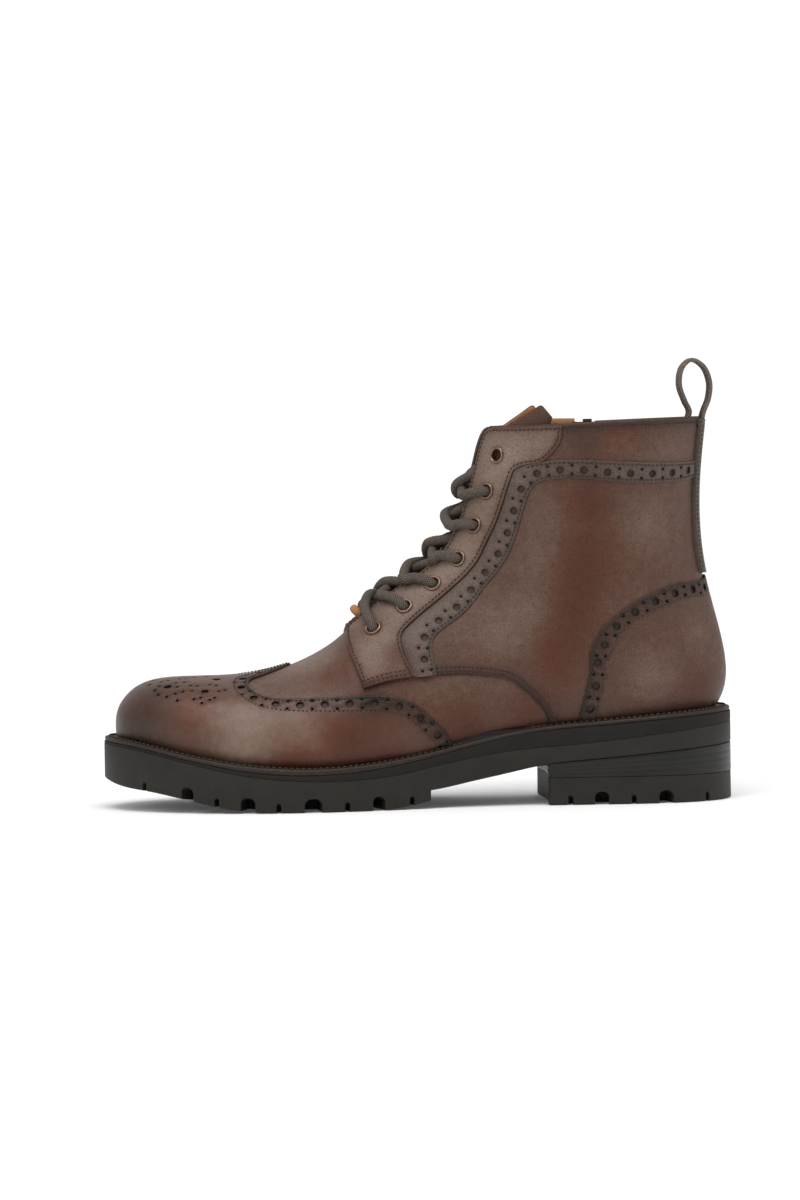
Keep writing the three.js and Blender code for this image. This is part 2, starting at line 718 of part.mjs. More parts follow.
// Skin through closed rings of points; its end rings are folded flat, joined or capped
function loft(rings, ends) {
  const seen = new Map();
  const points = [];
  const vertex = (p) => {
    const key = p.map((c) => Math.round(c * 2000)).join();
    if (!seen.has(key)) {
      seen.set(key, points.length);
      points.push(p);
    }
    return seen.get(key);
  };
  const ids = rings.map((ring) => ring.map(vertex));
  const indices = [];
  const addFace = (a, b, c) => {
    if (a !== b && b !== c && c !== a) indices.push(a, b, c);
  };
  const steps = ends === 'joined' ? ids.length : ids.length - 1;
  for (let i = 0; i < steps; i += 1) {
    const ring = ids[i];
    const next = ids[(i + 1) % ids.length];
    for (let j = 0; j < ring.length; j += 1) {
      const k = (j + 1) % ring.length;
      addFace(ring[j], next[j], next[k]);
      addFace(ring[j], next[k], ring[k]);
    }
  }
  if (ends === 'capped') {
    const [first, final] = [ids[0], ids[ids.length - 1]];
    for (let j = 1; j + 1 < first.length; j += 1) {
      addFace(first[0], first[j], first[j + 1]);
      addFace(final[0], final[j + 1], final[j]);
    }
  }
  return meshOf(points, outwardOrder(points, indices));
}

// Turns all faces round where the signed volume comes out negative
function outwardOrder(points, indices) {
  let volume = 0;
  for (let i = 0; i < indices.length; i += 3) {
    const [a, b, c] = [0, 1, 2].map((k) => new THREE.Vector3(...points[indices[i + k]]));
    volume += a.dot(b.cross(c));
  }
  return volume > 0 ? indices : indices.slice().reverse();
}

const SOLE_STEPS = 25;

// Full layer of the sole: profile lists inset and height from the bottom edge to the middle
function layer(profile) {
  const rings = range(0, 0.5, SOLE_STEPS).map((turn) => {
    const sidePoints = (at) => profile.map(({ inset, height }) => {
      const [x, y] = soleEdge(at, inset);
      return [x, y, height(x)];
    });
    return sidePoints(turn).concat(sidePoints(1 - turn).reverse());
  });
  return loft(rings, 'folded');
}

// Ring round the sole: profile lists inset and height round its section
function rimLayer(profile) {
  const rings = range(0, 1, SOLE_STEPS * 2).slice(0, -1).map((turn) => profile.map(
    ({ inset, height }) => {
      const [x, y] = soleEdge(turn, inset);
      return [x, y, height(x)];
    },
  ));
  return loft(rings, 'joined');
}

const WELT_REACH = 10;
const WELT_INSET = 0.4;
const FAR = 400;

function weltGeometry() {
  return rimLayer([
    { inset: WELT_INSET, height: weltBottom },
    { inset: WELT_INSET, height: weltTop },
    { inset: WELT_REACH, height: weltTop },
    { inset: WELT_REACH, height: weltBottom },
  ]);
}

function midsoleGeometry() {
  return layer([
    { inset: 0, height: midBottom },
    { inset: 0, height: (x) => weltBottom(x) - GAP },
    { inset: WELT_REACH + GAP, height: (x) => weltBottom(x) - GAP },
    { inset: WELT_REACH + GAP, height: (x) => weltTop(x) - GAP },
  ]);
}

// How far a notch's cutter stands outside the sole, and the span its slope is taken over
const NOTCH_SPARE = 12;
const SLOPE_SPAN = 6;

// Cutters for the notches of one stretch of the sole, on both sides
function notchCutters(from, to, surface) {
  const cutters = [];
  NOTCHES.forEach(([place, width, depth, reach]) => {
    const x = along(place);
    if (x < from || x > to) return;
    const rise = surface(x + SLOPE_SPAN / 2) - surface(x - SLOPE_SPAN / 2);
    [LATERAL, MEDIAL].forEach((side) => {
      const turnOf = (t) => (side === MEDIAL ? 1 - t : t);
      const at = turnOf(bisect(0.02, 0.48, (t) => soleEdge(turnOf(t), 0)[0] < x));
      const [edgeX, edgeY] = soleEdge(at, 0);
      const [farX, farY] = soleEdge(at, reach);
      const box = new THREE.BoxGeometry(width, reach + NOTCH_SPARE, depth + NOTCH_SPARE);
      box.translate(0, (reach - NOTCH_SPARE) / 2, (depth - NOTCH_SPARE) / 2);
      box.rotateZ(Math.atan2(farY - edgeY, farX - edgeX) - Math.PI / 2);
      box.rotateY(-Math.atan2(rise, SLOPE_SPAN));
      box.translate(edgeX, edgeY, surface(x));
      cutters.push(toSolid(box));
    });
  });
  return cutters;
}

function cutAll(solid, cutters) {
  return cutters.reduce((left, cutter) => left.subtract(cutter), solid);
}

// How far the lugs are rooted in the rubber above them
const LUG_ROOT = 3;

function outsoleGeometry() {
  const web = toSolid(layer([
    { inset: 0, height: webBottom },
    { inset: 0, height: (x) => midBottom(x) - GAP },
  ]));
  const slab = toSolid(layer([
    { inset: 0, height: groundLine },
    { inset: 0, height: (x) => webBottom(x) + LUG_ROOT },
  ]));
  const hollow = toSolid(layer([
    { inset: HOLLOW_INSET, height: (x) => groundLine(x) - NOTCH_SPARE },
    { inset: HOLLOW_INSET, height: webBottom },
  ]));
  const waist = block([LUG_END, -FAR, -FAR], [FAR, FAR, FAR]);
  let lugs = cutAll(slab.subtract(hollow), notchCutters(-FAR, LUG_END, groundLine));
  TREAD_BARS.map(along).forEach((x) => {
    const cross = (halfX, halfY) => block(
      [x - halfX, -halfY, groundLine(x) + BAR_ABOVE_GROUND],
      [x + halfX, halfY, webBottom(x) + LUG_ROOT],
    );
    lugs = lugs.add(cross(BAR_HALF_WIDTH, BAR_HALF_LENGTH));
    lugs = lugs.add(cross(SPINE_HALF_LENGTH, BAR_HALF_WIDTH));
  });
  return fromSolid(web.add(lugs.subtract(waist)));
}

// How far the foot of the stack and the lift stand back from the sole's edge, and how far
// ahead of the breast their top still follows the sole before they are cut there
const STACK_INSET = 0.6;
const LIFT_INSET = 0.4;
const AHEAD_OF_BREAST = 20;

const beforeBreast = () => block([-FAR, -FAR, -FAR], [HEEL_BREAST, FAR, FAR]);

function heelStackGeometry() {
  const stack = toSolid(layer([
    { inset: STACK_INSET, height: () => LIFT_TOP + GAP },
    { inset: 0, height: (x) => webBottom(Math.max(x, HEEL_BREAST - AHEAD_OF_BREAST)) - GAP },
  ]));
  return fromSolid(stack.subtract(beforeBreast()));
}

function heelLiftGeometry() {
  const lift = toSolid(layer([
    { inset: LIFT_INSET, height: () => 0 },
    { inset: LIFT_INSET, height: () => LIFT_TOP },
  ]));
  const cut = cutAll(lift.subtract(beforeBreast()), notchCutters(HEEL_BREAST, FAR, () => 0));
  return fromSolid(cut);
}

// What lies inside the upper keeps this far from its lining
const INSIDE_GAP = 4 * GAP;
const INSOLE_STEPS = 22;

// Insole: a board inside the upper's lower edge, with more steps towards the toe
function insoleGeometry() {
  const inward = -(WALL + INSIDE_GAP);
  const toe = TOE_ROW + 0.1;
  const rows = range(0, 1, INSOLE_STEPS).map((t) => toe + (HEEL_ROW - toe) * t ** 1.25);
  const rings = rows.map((row) => {
    const corner = (side, lift) => {
      const share = row >= HEEL_ROW ? 1 : weltShare(row, side, inward);
      const p = offLast(row, side * share, inward);
      return [p.x, p.y, weltTop(p.x) + lift];
    };
    const [low, high] = [2 * GAP, 2 * GAP + INSOLE_THICK];
    return [corner(LATERAL, low), corner(LATERAL, high), corner(MEDIAL, high), corner(MEDIAL, low)];
  });
  return loft(rings, 'capped');
}

// The upper and what lies on it

function upperGeometry() {
  return shell([...bothSides(0, COLLAR), middleLattice()], -WALL, 0);
}

// All that is lower than the welt's top, cut from the panels that reach it
const TRIM_OUTSET = 15;
const belowWelt = () => toSolid(layer([
  { inset: -TRIM_OUTSET, height: () => 0 },
  { inset: -TRIM_OUTSET, height: (x) => weltTop(x) + GAP },
]));

const QUARTER_FOOT = GAP;
const QUARTER_TOP = QUARTER_FOOT + QUARTER_THICK;
const OVERLAY_FOOT = QUARTER_TOP + GAP;
const OVERLAY_TOP = OVERLAY_FOOT + OVERLAY_THICK;
const BAND_TOP = OVERLAY_FOOT + BAND_THICK;

// Rows where the lattices end that the quarters, the counter and the toe cap are cut from
const QUARTER_FRONT = 11.5;
const HEEL_FRONT = 15.9;
const CAP_REAR = 16;

const zipCutter = () => block(
  [ZIP_X - ZIP_SLOT / 2, 0, ZIP_BOTTOM],
  [ZIP_X + ZIP_SLOT / 2, FAR, FAR],
);

function quarterSolid(side) {
  const lattice = sideLattice(side, QUARTER_FRONT, COLLAR);
  const grid = panel(QUARTER, side, BESIDE_SEAM, QUARTER_STEPS);
  return cutPanel([lattice], [grid], QUARTER_FOOT, QUARTER_TOP).subtract(belowWelt());
}

function eyestaySolid(side) {
  const lattice = sideLattice(side, QUARTER_FRONT, COLLAR);
  return cutPanel([lattice], [panel(EYESTAY, side)], OVERLAY_FOOT, OVERLAY_TOP);
}

function bandSolid(stations, side) {
  const lattice = sideLattice(side, QUARTER_FRONT, COLLAR);
  return cutPanel([lattice], [panel(stations, side)], OVERLAY_FOOT, BAND_TOP);
}

function counterSolid() {
  const grids = [LATERAL, MEDIAL].map((side) => panel(COUNTER, side));
  const skin = cutPanel(bothSides(HEEL_FRONT, COLLAR), grids, OVERLAY_FOOT, OVERLAY_TOP);
  return skin.subtract(belowWelt());
}

function backstaySolid() {
  const grids = [LATERAL, MEDIAL].map((side) => panel(BACKSTAY, side));
  return cutPanel(bothSides(HEEL_FRONT, COLLAR), grids, OVERLAY_FOOT, BAND_TOP);
}

const WING_STEPS = 22;

// The toe cap: all that lies ahead of the wing line
function toeCapSolid() {
  const top = GAP + OVERLAY_THICK;
  const behindWing = range(-1, 1, WING_STEPS).map((t) => {
    const wing = wingAt(Math.abs(t)).row;
    return range(0, 1, 4).map((a) => {
      const row = wing + (CAP_REAR + PAST_COLLAR - wing) * a;
      return [row, t * (weltShare(row, Math.sign(t) || 1) + PAST_WELT)];
    });
  });
  const skin = toSolid(shell([...bothSides(0, CAP_REAR), middleLattice()], GAP, top));
  const cutter = toSolid(shell([behindWing], GAP - CUTTER_REACH, top + CUTTER_REACH));
  return skin.subtract(cutter).subtract(belowWelt());
}

function tongueGeometry() {
  const rows = range(TONGUE[0][0], COLLAR, 11).concat([COLLAR + 0.5, COLLAR + 1]);
  const grid = rows.map((row) => range(-1, 1, 8).map((t) => {
    const lift = row > COLLAR ? (row - COLLAR) * tongueTopAt(Math.abs(t)).rise : 0;
    const base = Math.min(row, COLLAR);
    return [base + lift, t * tongueAt(base).share];
  }));
  const top = -(WALL + INSIDE_GAP);
  return shell([grid], top - TONGUE_THICK, top);
}

// Pieces turned to stand on the upper

function eyeletMesh(name, side, index) {
  const profile = [
    [EYELET_BORE, 0],
    [EYELET_OUTER, 0],
    [EYELET_OUTER * EYELET_TAPER, EYELET_HEIGHT],
    [EYELET_BORE, EYELET_HEIGHT],
    [EYELET_BORE, 0],
  ].map(([x, y]) => new THREE.Vector2(x, y));
  const ring = merged(new THREE.LatheGeometry(profile, EYELET_SIDES));
  const piece = mesh(name, ring, BRASS);
  const [row, share] = EYELETS[index];
  const out = lastNormal(row, side * share);
  piece.quaternion.setFromUnitVectors(new THREE.Vector3(0, 1, 0), out);
  piece.position.copy(offLast(row, side * share, OVERLAY_TOP + 2 * GAP));
  return piece;
}

// Stops of a lace strand between two eyelets: how far up towards the next one, how far
// across as a share of the strand's own eyelet (first) or half throat, and how far its
// middle lies above the facing's top
const STRAND = [
  { rise: 0, across: 0.72, above: 0 },
  { rise: 0.16, across: 1.05, above: 0.3 },
  { rise: 0.45, across: 0, above: -1.6 },
  { rise: 0.66, across: -0.7, above: -3.9 },
];
const LACE_SIDES = 6;
const LACE_STEPS = 4;

// One lace strand over the throat, from an eyelet down to the other facing's edge
function laceStrand(index, side) {
  const [row, share] = EYELETS[index];
  const rise = EYELETS[index + 1][0] - row;
  const onTop = OVERLAY_TOP + LACE_RADIUS + GAP;
  const halfThroat = facingAt(row + rise).share;
  const curve = new THREE.CatmullRomCurve3(STRAND.map((stop, i) => offLast(
    row + rise * stop.rise,
    side * stop.across * (i === 0 ? share : halfThroat),
    onTop + stop.above,
  )));
  const circle = new THREE.Shape(range(0, 2 * Math.PI, LACE_SIDES).slice(0, -1).map(
    (a) => new THREE.Vector2(Math.cos(a) * LACE_RADIUS, Math.sin(a) * LACE_RADIUS),
  ));
  return new THREE.ExtrudeGeometry(
    circle,
    { steps: LACE_STEPS, extrudePath: curve, bevelEnabled: false },
  );
}

function laceCrossGeometry(index) {
  return fromSolid(toSolid(laceStrand(index, LATERAL)).add(toSolid(laceStrand(index, MEDIAL))));
}

function pullLoopGeometry() {
  const curve = new THREE.CatmullRomCurve3(LOOP.map(([x, z]) => new THREE.Vector3(along(x), up(z), 0)));
  const side = (sign) => range(0, 1, LOOP_STEPS).map((t) => {
    const p = curve.getPoint(t);
    const tangent = curve.getTangent(t);
    return new THREE.Vector2(
      p.x - tangent.y * sign * LOOP_THICK / 2,
      p.y + tangent.x * sign * LOOP_THICK / 2,
    );
  });
  const shape = new THREE.Shape(side(1).concat(side(-1).reverse()));
  const ribbon = new THREE.ExtrudeGeometry(shape, { depth: LOOP_WIDTH, bevelEnabled: false });
  ribbon.rotateX(Math.PI / 2);
  ribbon.translate(0, LOOP_WIDTH / 2, 0);
  return merged(ribbon);
}

// The zip

// Finds the row and share of the inner side's point seen at x, z from the side
function locate(x, z) {
  const [tableX, tableZ] = [x / alongScale, z / upScale];
  const past = (row) => {
    const s = lastAt(row);
    return (tableX - s.footX) * (s.topZ - s.footZ) < (tableZ - s.footZ) * (s.topX - s.footX);
  };
  const row = bisect(12, COLLAR + 0.2, (r) => !past(r));
  const share = bisect(0.02, 0.99, (v) => lastPoint(row, v).x < x);
  return [row, share];
}

function zipStrip(width, bottom, top, inner, outer) {
  const heights = range(bottom, top, 8);
  const grid = heights.map((z) => range(-0.5, 0.5, 2).map((t) => locate(ZIP_X + width * t, z)));
  return shell([grid], inner, outer);
}

const sliderSeat = lastPoint(...locate(ZIP_X, SLIDER_Z));
const PIN = new THREE.Vector3(ZIP_X, sliderSeat.y + PIN_OUT, SLIDER_Z + 1);

// Round bar across the slider at the pin
function crossPin(radius, width, sides) {
  const bar = new THREE.CylinderGeometry(radius, radius, width, sides);
  bar.rotateZ(Math.PI / 2);
  bar.translate(PIN.x, PIN.y, PIN.z);
  return toSolid(bar);
}

function sliderGeometry() {
  const front = sliderSeat.y + SLIDER_THICK + GAP;
  const body = block(
    [ZIP_X - SLIDER_WIDTH / 2, sliderSeat.y + GAP, SLIDER_Z - SLIDER_LENGTH / 2],
    [ZIP_X + SLIDER_WIDTH / 2, front, SLIDER_Z + SLIDER_LENGTH / 2],
  );
  const ear = (x) => block(
    [x - EAR_THICK / 2, front - PIN_RADIUS, PIN.z - EAR_HALF_LENGTH],
    [x + EAR_THICK / 2, PIN.y + 2 * PIN_RADIUS, PIN.z + EAR_HALF_LENGTH],
  );
  const ears = ear(ZIP_X - EAR_APART / 2).add(ear(ZIP_X + EAR_APART / 2));
  return fromSolid(body.add(ears).add(crossPin(PIN_RADIUS, EAR_APART, 12)));
}

// Pull tab: a plate that widens below its neck and ends round, with an eye for the pin
function zipPullGeometry() {
  const tab = new THREE.Shape();
  tab.moveTo(-PULL_NECK, EYE_RADIUS);
  tab.lineTo(-PULL_NECK, -PULL_LENGTH * 0.18);
  tab.lineTo(-PULL_HALF_WIDTH, -PULL_LENGTH * 0.3);
  tab.lineTo(-PULL_HALF_WIDTH, -PULL_LENGTH);
  tab.absarc(0, -PULL_LENGTH, PULL_HALF_WIDTH, Math.PI, 2 * Math.PI, false);
  tab.lineTo(PULL_HALF_WIDTH, -PULL_LENGTH * 0.3);
  tab.lineTo(PULL_NECK, -PULL_LENGTH * 0.18);
  tab.lineTo(PULL_NECK, EYE_RADIUS);
  const plate = new THREE.ExtrudeGeometry(
    tab,
    { depth: PULL_THICK, bevelEnabled: false, curveSegments: 8 },
  );
  plate.rotateX(Math.PI / 2);
  plate.translate(PIN.x, PIN.y + PULL_THICK / 2, PIN.z);
  const eye = crossPin(EYE_RADIUS, EYE_WIDTH, 16);
  const bore = crossPin(PIN_RADIUS + GAP, 2 * EYE_WIDTH, 16);
  return fromSolid(toSolid(plate).add(eye).subtract(bore));
}

// Assembly

function mesh(name, geometry, look) {
  const piece = new THREE.Mesh(geometry, new THREE.MeshStandardMaterial(look));
  piece.name = name;
  return piece;
}

function soleGroup() {
  const group = new THREE.Group();
  group.add(mesh('outsole', outsoleGeometry(), RUBBER));
  group.add(mesh('midsole', midsoleGeometry(), RUBBER));
  group.add(mesh('welt', weltGeometry(), WELTING));
  group.add(mesh('heel_stack', heelStackGeometry(), RUBBER));
  group.add(mesh('heel_lift', heelLiftGeometry(), RUBBER));
  group.add(mesh('insole', insoleGeometry(), LINING));
  return group;
}

function upperGroup() {
  const group = new THREE.Group();
  const add = (name, solid, look) => group.add(mesh(name, fromSolid(solid), look));
  add('upper', toSolid(upperGeometry()).subtract(zipCutter()), LEATHER);
  group.add(mesh('tongue', tongueGeometry(), LEATHER));
  add('toe_cap', toeCapSolid(), LEATHER_DARK);
  add('quarter_lateral', quarterSolid(LATERAL), LEATHER);
  add('quarter_medial', quarterSolid(MEDIAL).subtract(zipCutter()), LEATHER);
  add('counter', counterSolid(), LEATHER);
  add('backstay', backstaySolid(), LEATHER_DARK);
  add('eyestay_lateral', eyestaySolid(LATERAL), LEATHER);
  add('eyestay_medial', eyestaySolid(MEDIAL), LEATHER);
  add('punched_band_lateral', bandSolid(BAND, LATERAL), LEATHER_DARK);
  add('punched_band_medial', bandSolid(BAND.slice(BAND_ZIP_FRONT), MEDIAL), LEATHER_DARK);
  add('punched_band_rear', bandSolid(BAND.slice(0, BAND_ZIP_REAR + 1), MEDIAL), LEATHER_DARK);
  group.add(mesh('pull_loop', pullLoopGeometry(), WEBBING));
  return group;
}

function lacingGroup() {
  const group = new THREE.Group();
  EYELETS.forEach((place, index) => {
    group.add(eyeletMesh(`eyelet_lateral_${index + 1}`, LATERAL, index));
    group.add(eyeletMesh(`eyelet_medial_${index + 1}`, MEDIAL, index));
  });
  EYELETS.slice(0, -1).forEach((place, index) => {
    group.add(mesh(`lace_cross_${index + 1}`, laceCrossGeometry(index), CORD));
  });
  return group;
}

function zipGroup() {
  const group = new THREE.Group();
  const tapeFace = -(WALL + INSIDE_GAP - GAP);
  const tapeTop = COLLAR_HEIGHT - TAPE_BELOW_COLLAR;
  const chainTop = COLLAR_HEIGHT - CHAIN_BELOW_COLLAR;
  const tape = zipStrip(ZIP_TAPE, ZIP_BOTTOM - TAPE_PAST_SLOT, tapeTop, tapeFace - TAPE_THICK, tapeFace);
  const chain = zipStrip(ZIP_CHAIN, ZIP_BOTTOM + 2 * GAP, chainTop, -WALL, -2 * GAP);
  group.add(mesh('zip_tape', tape, TAPE));
  group.add(mesh('zip_chain', chain, BRASS));
  group.add(mesh('zip_slider', sliderGeometry(), BRASS));
  group.add(mesh('zip_pull', zipPullGeometry(), BRASS));
  return group;
}

const boot = new THREE.Group();
boot.add(soleGroup(), upperGroup(), lacingGroup(), zipGroup());

export default boot;
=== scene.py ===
"""A lace-up ankle boot in burnished leather, built around its measured solids.

Sizes and places are millimetres: X runs from the toe (-X) to the heel (+X), -Y is the outer
side of this left boot and +Z is up. Meshes are written in metres.
"""
import math

import bmesh
import bpy
import numpy as np
from mathutils import Matrix, Vector, kdtree
from mathutils.geometry import delaunay_2d_cdt, tessellate_polygon


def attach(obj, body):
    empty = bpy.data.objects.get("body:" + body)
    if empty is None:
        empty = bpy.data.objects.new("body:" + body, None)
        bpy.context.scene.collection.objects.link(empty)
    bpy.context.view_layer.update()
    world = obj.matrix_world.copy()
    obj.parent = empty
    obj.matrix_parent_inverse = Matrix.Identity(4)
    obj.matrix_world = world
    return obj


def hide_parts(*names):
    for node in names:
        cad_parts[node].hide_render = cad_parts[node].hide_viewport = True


bl_info = {
    "name": "Lace-up Ankle Boot",
    "version": (1, 0, 0),
    "blender": (4, 5, 0),
    "location": "3D View > Sidebar > Boot",
    "description": "Builds a punched leather ankle boot around its measured solids",
    "category": "Add Mesh",
}

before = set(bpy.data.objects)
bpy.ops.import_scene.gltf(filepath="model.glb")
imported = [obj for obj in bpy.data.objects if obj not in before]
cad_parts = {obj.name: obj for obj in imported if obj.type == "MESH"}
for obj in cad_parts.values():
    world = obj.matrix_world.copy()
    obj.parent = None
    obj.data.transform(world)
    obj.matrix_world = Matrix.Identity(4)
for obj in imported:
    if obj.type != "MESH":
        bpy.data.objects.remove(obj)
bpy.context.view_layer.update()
MM = 0.001


def size(key):
    """One of the scene's size settings, in millimetres."""
    return getattr(bpy.context.scene.boot_sizes, key) / MM


BOOT = "boot"
LATERAL, MEDIAL = -1, 1

# The last: a fan of sections from the toe tip to the collar. Columns: the top line's x and z,
# the foot line's x and z, the sideways place of the top line, the outer and inner half
# widths, the share of the height where they are reached, and four powers that shape the
# curve above and below the widest place.
LAST = np.array([
    (-145.2, 31.5, -145.0, 31.3, 5.0, 0.5, 9.5, 0.36, 0.95, 0.90, 0.26, 0.80),
    (-145.9, 38.5, -141.5, 28.6, 5.0, 7.0, 17.5, 0.36, 0.92, 0.84, 0.26, 0.80),
    (-145.5, 45.0, -136.5, 27.6, 5.0, 14.0, 24.0, 0.36, 0.90, 0.80, 0.26, 0.80),
    (-143.3, 50.4, -131.0, 26.6, 4.8, 20.0, 28.8, 0.36, 0.89, 0.78, 0.26, 0.80),
    (-139.0, 55.4, -125.0, 25.4, 4.6, 25.8, 33.2, 0.36, 0.88, 0.77, 0.26, 0.80),
    (-132.8, 59.2, -118.5, 24.1, 4.2, 31.0, 37.0, 0.36, 0.88, 0.77, 0.26, 0.80),
    (-124.5, 61.3, -111.0, 22.6, 3.6, 35.4, 40.2, 0.35, 0.88, 0.78, 0.26, 0.80),
    (-113.5, 62.0, -102.0, 21.0, 2.8, 39.6, 43.2, 0.34, 0.89, 0.80, 0.26, 0.80),
    (-99.0, 62.2, -91.0, 19.3, 2.0, 43.6, 46.0, 0.33, 0.91, 0.84, 0.26, 0.80),
    (-83.0, 63.2, -79.0, 18.0, 1.2, 47.0, 48.2, 0.32, 0.94, 0.90, 0.26, 0.80),
    (-66.5, 66.6, -65.5, 17.0, 0.6, 49.0, 49.0, 0.31, 0.97, 0.96, 0.26, 0.80),
    (-51.0, 72.9, -51.0, 16.7, 0.2, 49.4, 48.2, 0.30, 1.00, 1.02, 0.26, 0.80),
    (-38.0, 81.2, -35.5, 17.4, 0.0, 48.4, 46.0, 0.28, 1.00, 1.08, 0.26, 0.80),
    (-27.0, 91.6, -17.0, 19.5, 0.0, 45.8, 42.6, 0.27, 1.00, 1.12, 0.27, 0.80),
    (-16.8, 100.8, 6.0, 23.7, 0.0, 42.2, 39.4, 0.27, 1.00, 1.14, 0.28, 0.80),
    (-7.6, 107.6, 32.0, 29.8, 0.0, 39.2, 37.4, 0.28, 1.00, 1.14, 0.30, 0.80),
    (0.2, 113.4, 62.0, 34.3, 0.0, 37.2, 36.6, 0.30, 1.00, 1.13, 0.33, 0.80),
    (5.6, 118.6, 92.0, 36.8, 0.0, 36.4, 36.4, 0.33, 1.00, 1.10, 0.38, 0.82),
    (9.2, 122.8, 118.0, 38.6, 0.0, 36.0, 36.4, 0.37, 1.00, 1.07, 0.48, 0.86),
    (12.2, 127.0, 136.5, 41.8, 0.0, 35.6, 36.2, 0.41, 1.00, 1.04, 0.64, 0.92),
    (14.8, 131.2, 145.3, 49.0, 0.0, 35.2, 36.0, 0.44, 1.00, 1.02, 0.80, 0.96),
    (17.4, 135.8, 148.6, 60.6, 0.0, 34.8, 35.6, 0.46, 1.00, 1.00, 0.92, 0.99),
    (20.0, 141.0, 147.0, 76.0, 0.0, 34.4, 35.0, 0.47, 1.00, 1.00, 1.00, 1.00),
    (22.6, 147.0, 142.6, 94.0, 0.0, 34.0, 34.4, 0.48, 1.00, 1.00, 1.00, 1.00),
    (25.4, 154.8, 137.9, 115.0, 0.0, 33.8, 33.9, 0.49, 1.00, 1.00, 1.00, 1.00),
    (28.2, 164.0, 135.9, 138.0, 0.0, 34.4, 34.4, 0.50, 1.00, 1.00, 1.00, 1.00),
    (31.0, 173.6, 136.7, 161.0, 0.0, 35.6, 35.6, 0.50, 1.00, 1.00, 1.00, 1.00),
    (33.9, 181.8, 139.4, 185.2, 0.0, 37.0, 37.0, 0.50, 1.00, 1.00, 1.00, 1.00),
])
COLLAR = len(LAST) - 1

# How much darker the leather is made: worn everywhere, toward an edge and on the edge itself,
# painted shade at a punched hole, worn in a seam, and darker beside the welt
PLAIN_WEAR = 0.15
EDGE_WEAR = 0.62
RIM_WEAR = 0.3
HOLE_SHADE = 1.2
SEAM_WEAR = 0.25
WELT_DARKENING = 0.5
SEAM_DEPTH = 0.18
HOLE_DIP = 0.22
WIDEST_SHARE = 0.6

# Heights along the sole: x, the welt's top, its thickness, the underside of the midsole, the
# rubber between the lugs, and the ground line of the lugs
SOLE_HEIGHTS = np.array([
    (-156, 35.4, 2.2, 32.0, 22.5, 16.0),
    (-147, 34.4, 2.2, 31.0, 19.5, 12.4),
    (-134, 32.3, 2.2, 28.9, 17.0, 10.2),
    (-118, 28.5, 2.3, 25.0, 13.8, 7.2),
    (-102, 25.2, 2.5, 21.2, 10.6, 3.6),
    (-88, 22.9, 2.8, 18.2, 8.3, 1.1),
    (-72, 21.3, 3.0, 15.9, 7.2, 0.05),
    (-56, 20.5, 3.0, 14.8, 7.0, 0),
    (-40, 20.9, 3.0, 14.6, 7.0, 0),
    (-24, 22.3, 2.9, 15.4, 7.2, 0.05),
    (-10, 24.2, 2.7, 17.1, 7.8, 1.1),
    (6, 27.4, 2.5, 20.4, 9.0, 4.0),
    (22, 31.0, 2.3, 23.4, 12.0, 7.0),
    (40, 34.9, 2.2, 26.2, 15.6, 10.0),
    (58, 37.8, 2.2, 27.9, 19.2, 13.0),
    (80, 39.7, 2.2, 29.6, 21.4, 13.4),
    (104, 41.5, 2.2, 32.2, 23.4, 13.4),
    (130, 43.5, 2.2, 35.2, 25.6, 13.4),
    (156, 45.2, 2.2, 38.2, 27.6, 13.4),
])

# The sole's edge seen from above, from the toe tip round the outer side and back, as x and y
OUTLINE = np.array([
    (-153.0, 6.0), (-150.6, -6.5), (-144.4, -18.0), (-134.4, -29.2), (-120.0, -39.4),
    (-101.0, -47.6), (-78.0, -52.8), (-54.0, -54.0), (-30.0, -51.0), (-4.0, -44.6),
    (24.0, -38.6), (52.0, -36.4), (80.0, -37.0), (106.0, -37.6), (130.0, -33.0),
    (146.4, -20.0), (153.0, 0.0), (146.4, 20.4), (130.0, 33.6), (106.0, 38.2),
    (80.0, 37.4), (52.0, 35.4), (24.0, 36.2), (-4.0, 41.6), (-30.0, 49.0),
    (-54.0, 53.6), (-78.0, 54.0), (-101.0, 51.4), (-120.0, 46.4), (-134.4, 38.8),
    (-144.4, 29.4), (-150.6, 18.6),
])

# Notches cut into the side of the lugs: x, width, depth and how far they reach inward
NOTCHES = [
    (-133.8, 2.4, 4.0, 8), (-113.3, 6.2, 6.0, 20), (-99.4, 2.4, 4.0, 8), (-84.6, 7.2, 6.4, 21),
    (-69.9, 2.4, 4.2, 8), (-53.3, 8.4, 6.4, 21), (-36.9, 2.6, 4.2, 8), (-21.6, 6.2, 6.4, 20),
    (-5.6, 2.4, 4.2, 8), (71.3, 2.4, 4.2, 7), (86.4, 6.8, 6.0, 14), (101.9, 2.4, 4.2, 7),
    (117.8, 7.2, 6.0, 14), (138.6, 2.4, 4.2, 7),
]
LUG_END = 4.7
HEEL_BREAST = 60.5
LIFT_TOP = 13.2
TREAD_BARS = [-112, -91, -69, -46, -22]
HOLLOW_INSET = 22

# Heights of the leathers over the last
LINING_FOOT = -1.6
VAMP_TOP = 0.0
QUARTER_TOP = 1.2
OVERLAY_TOP = 2.6
BAND_TOP = 2.3
CAP_TOP = 1.4
STRIP_TOP = 3.5
LEAF_GAP = 0.05

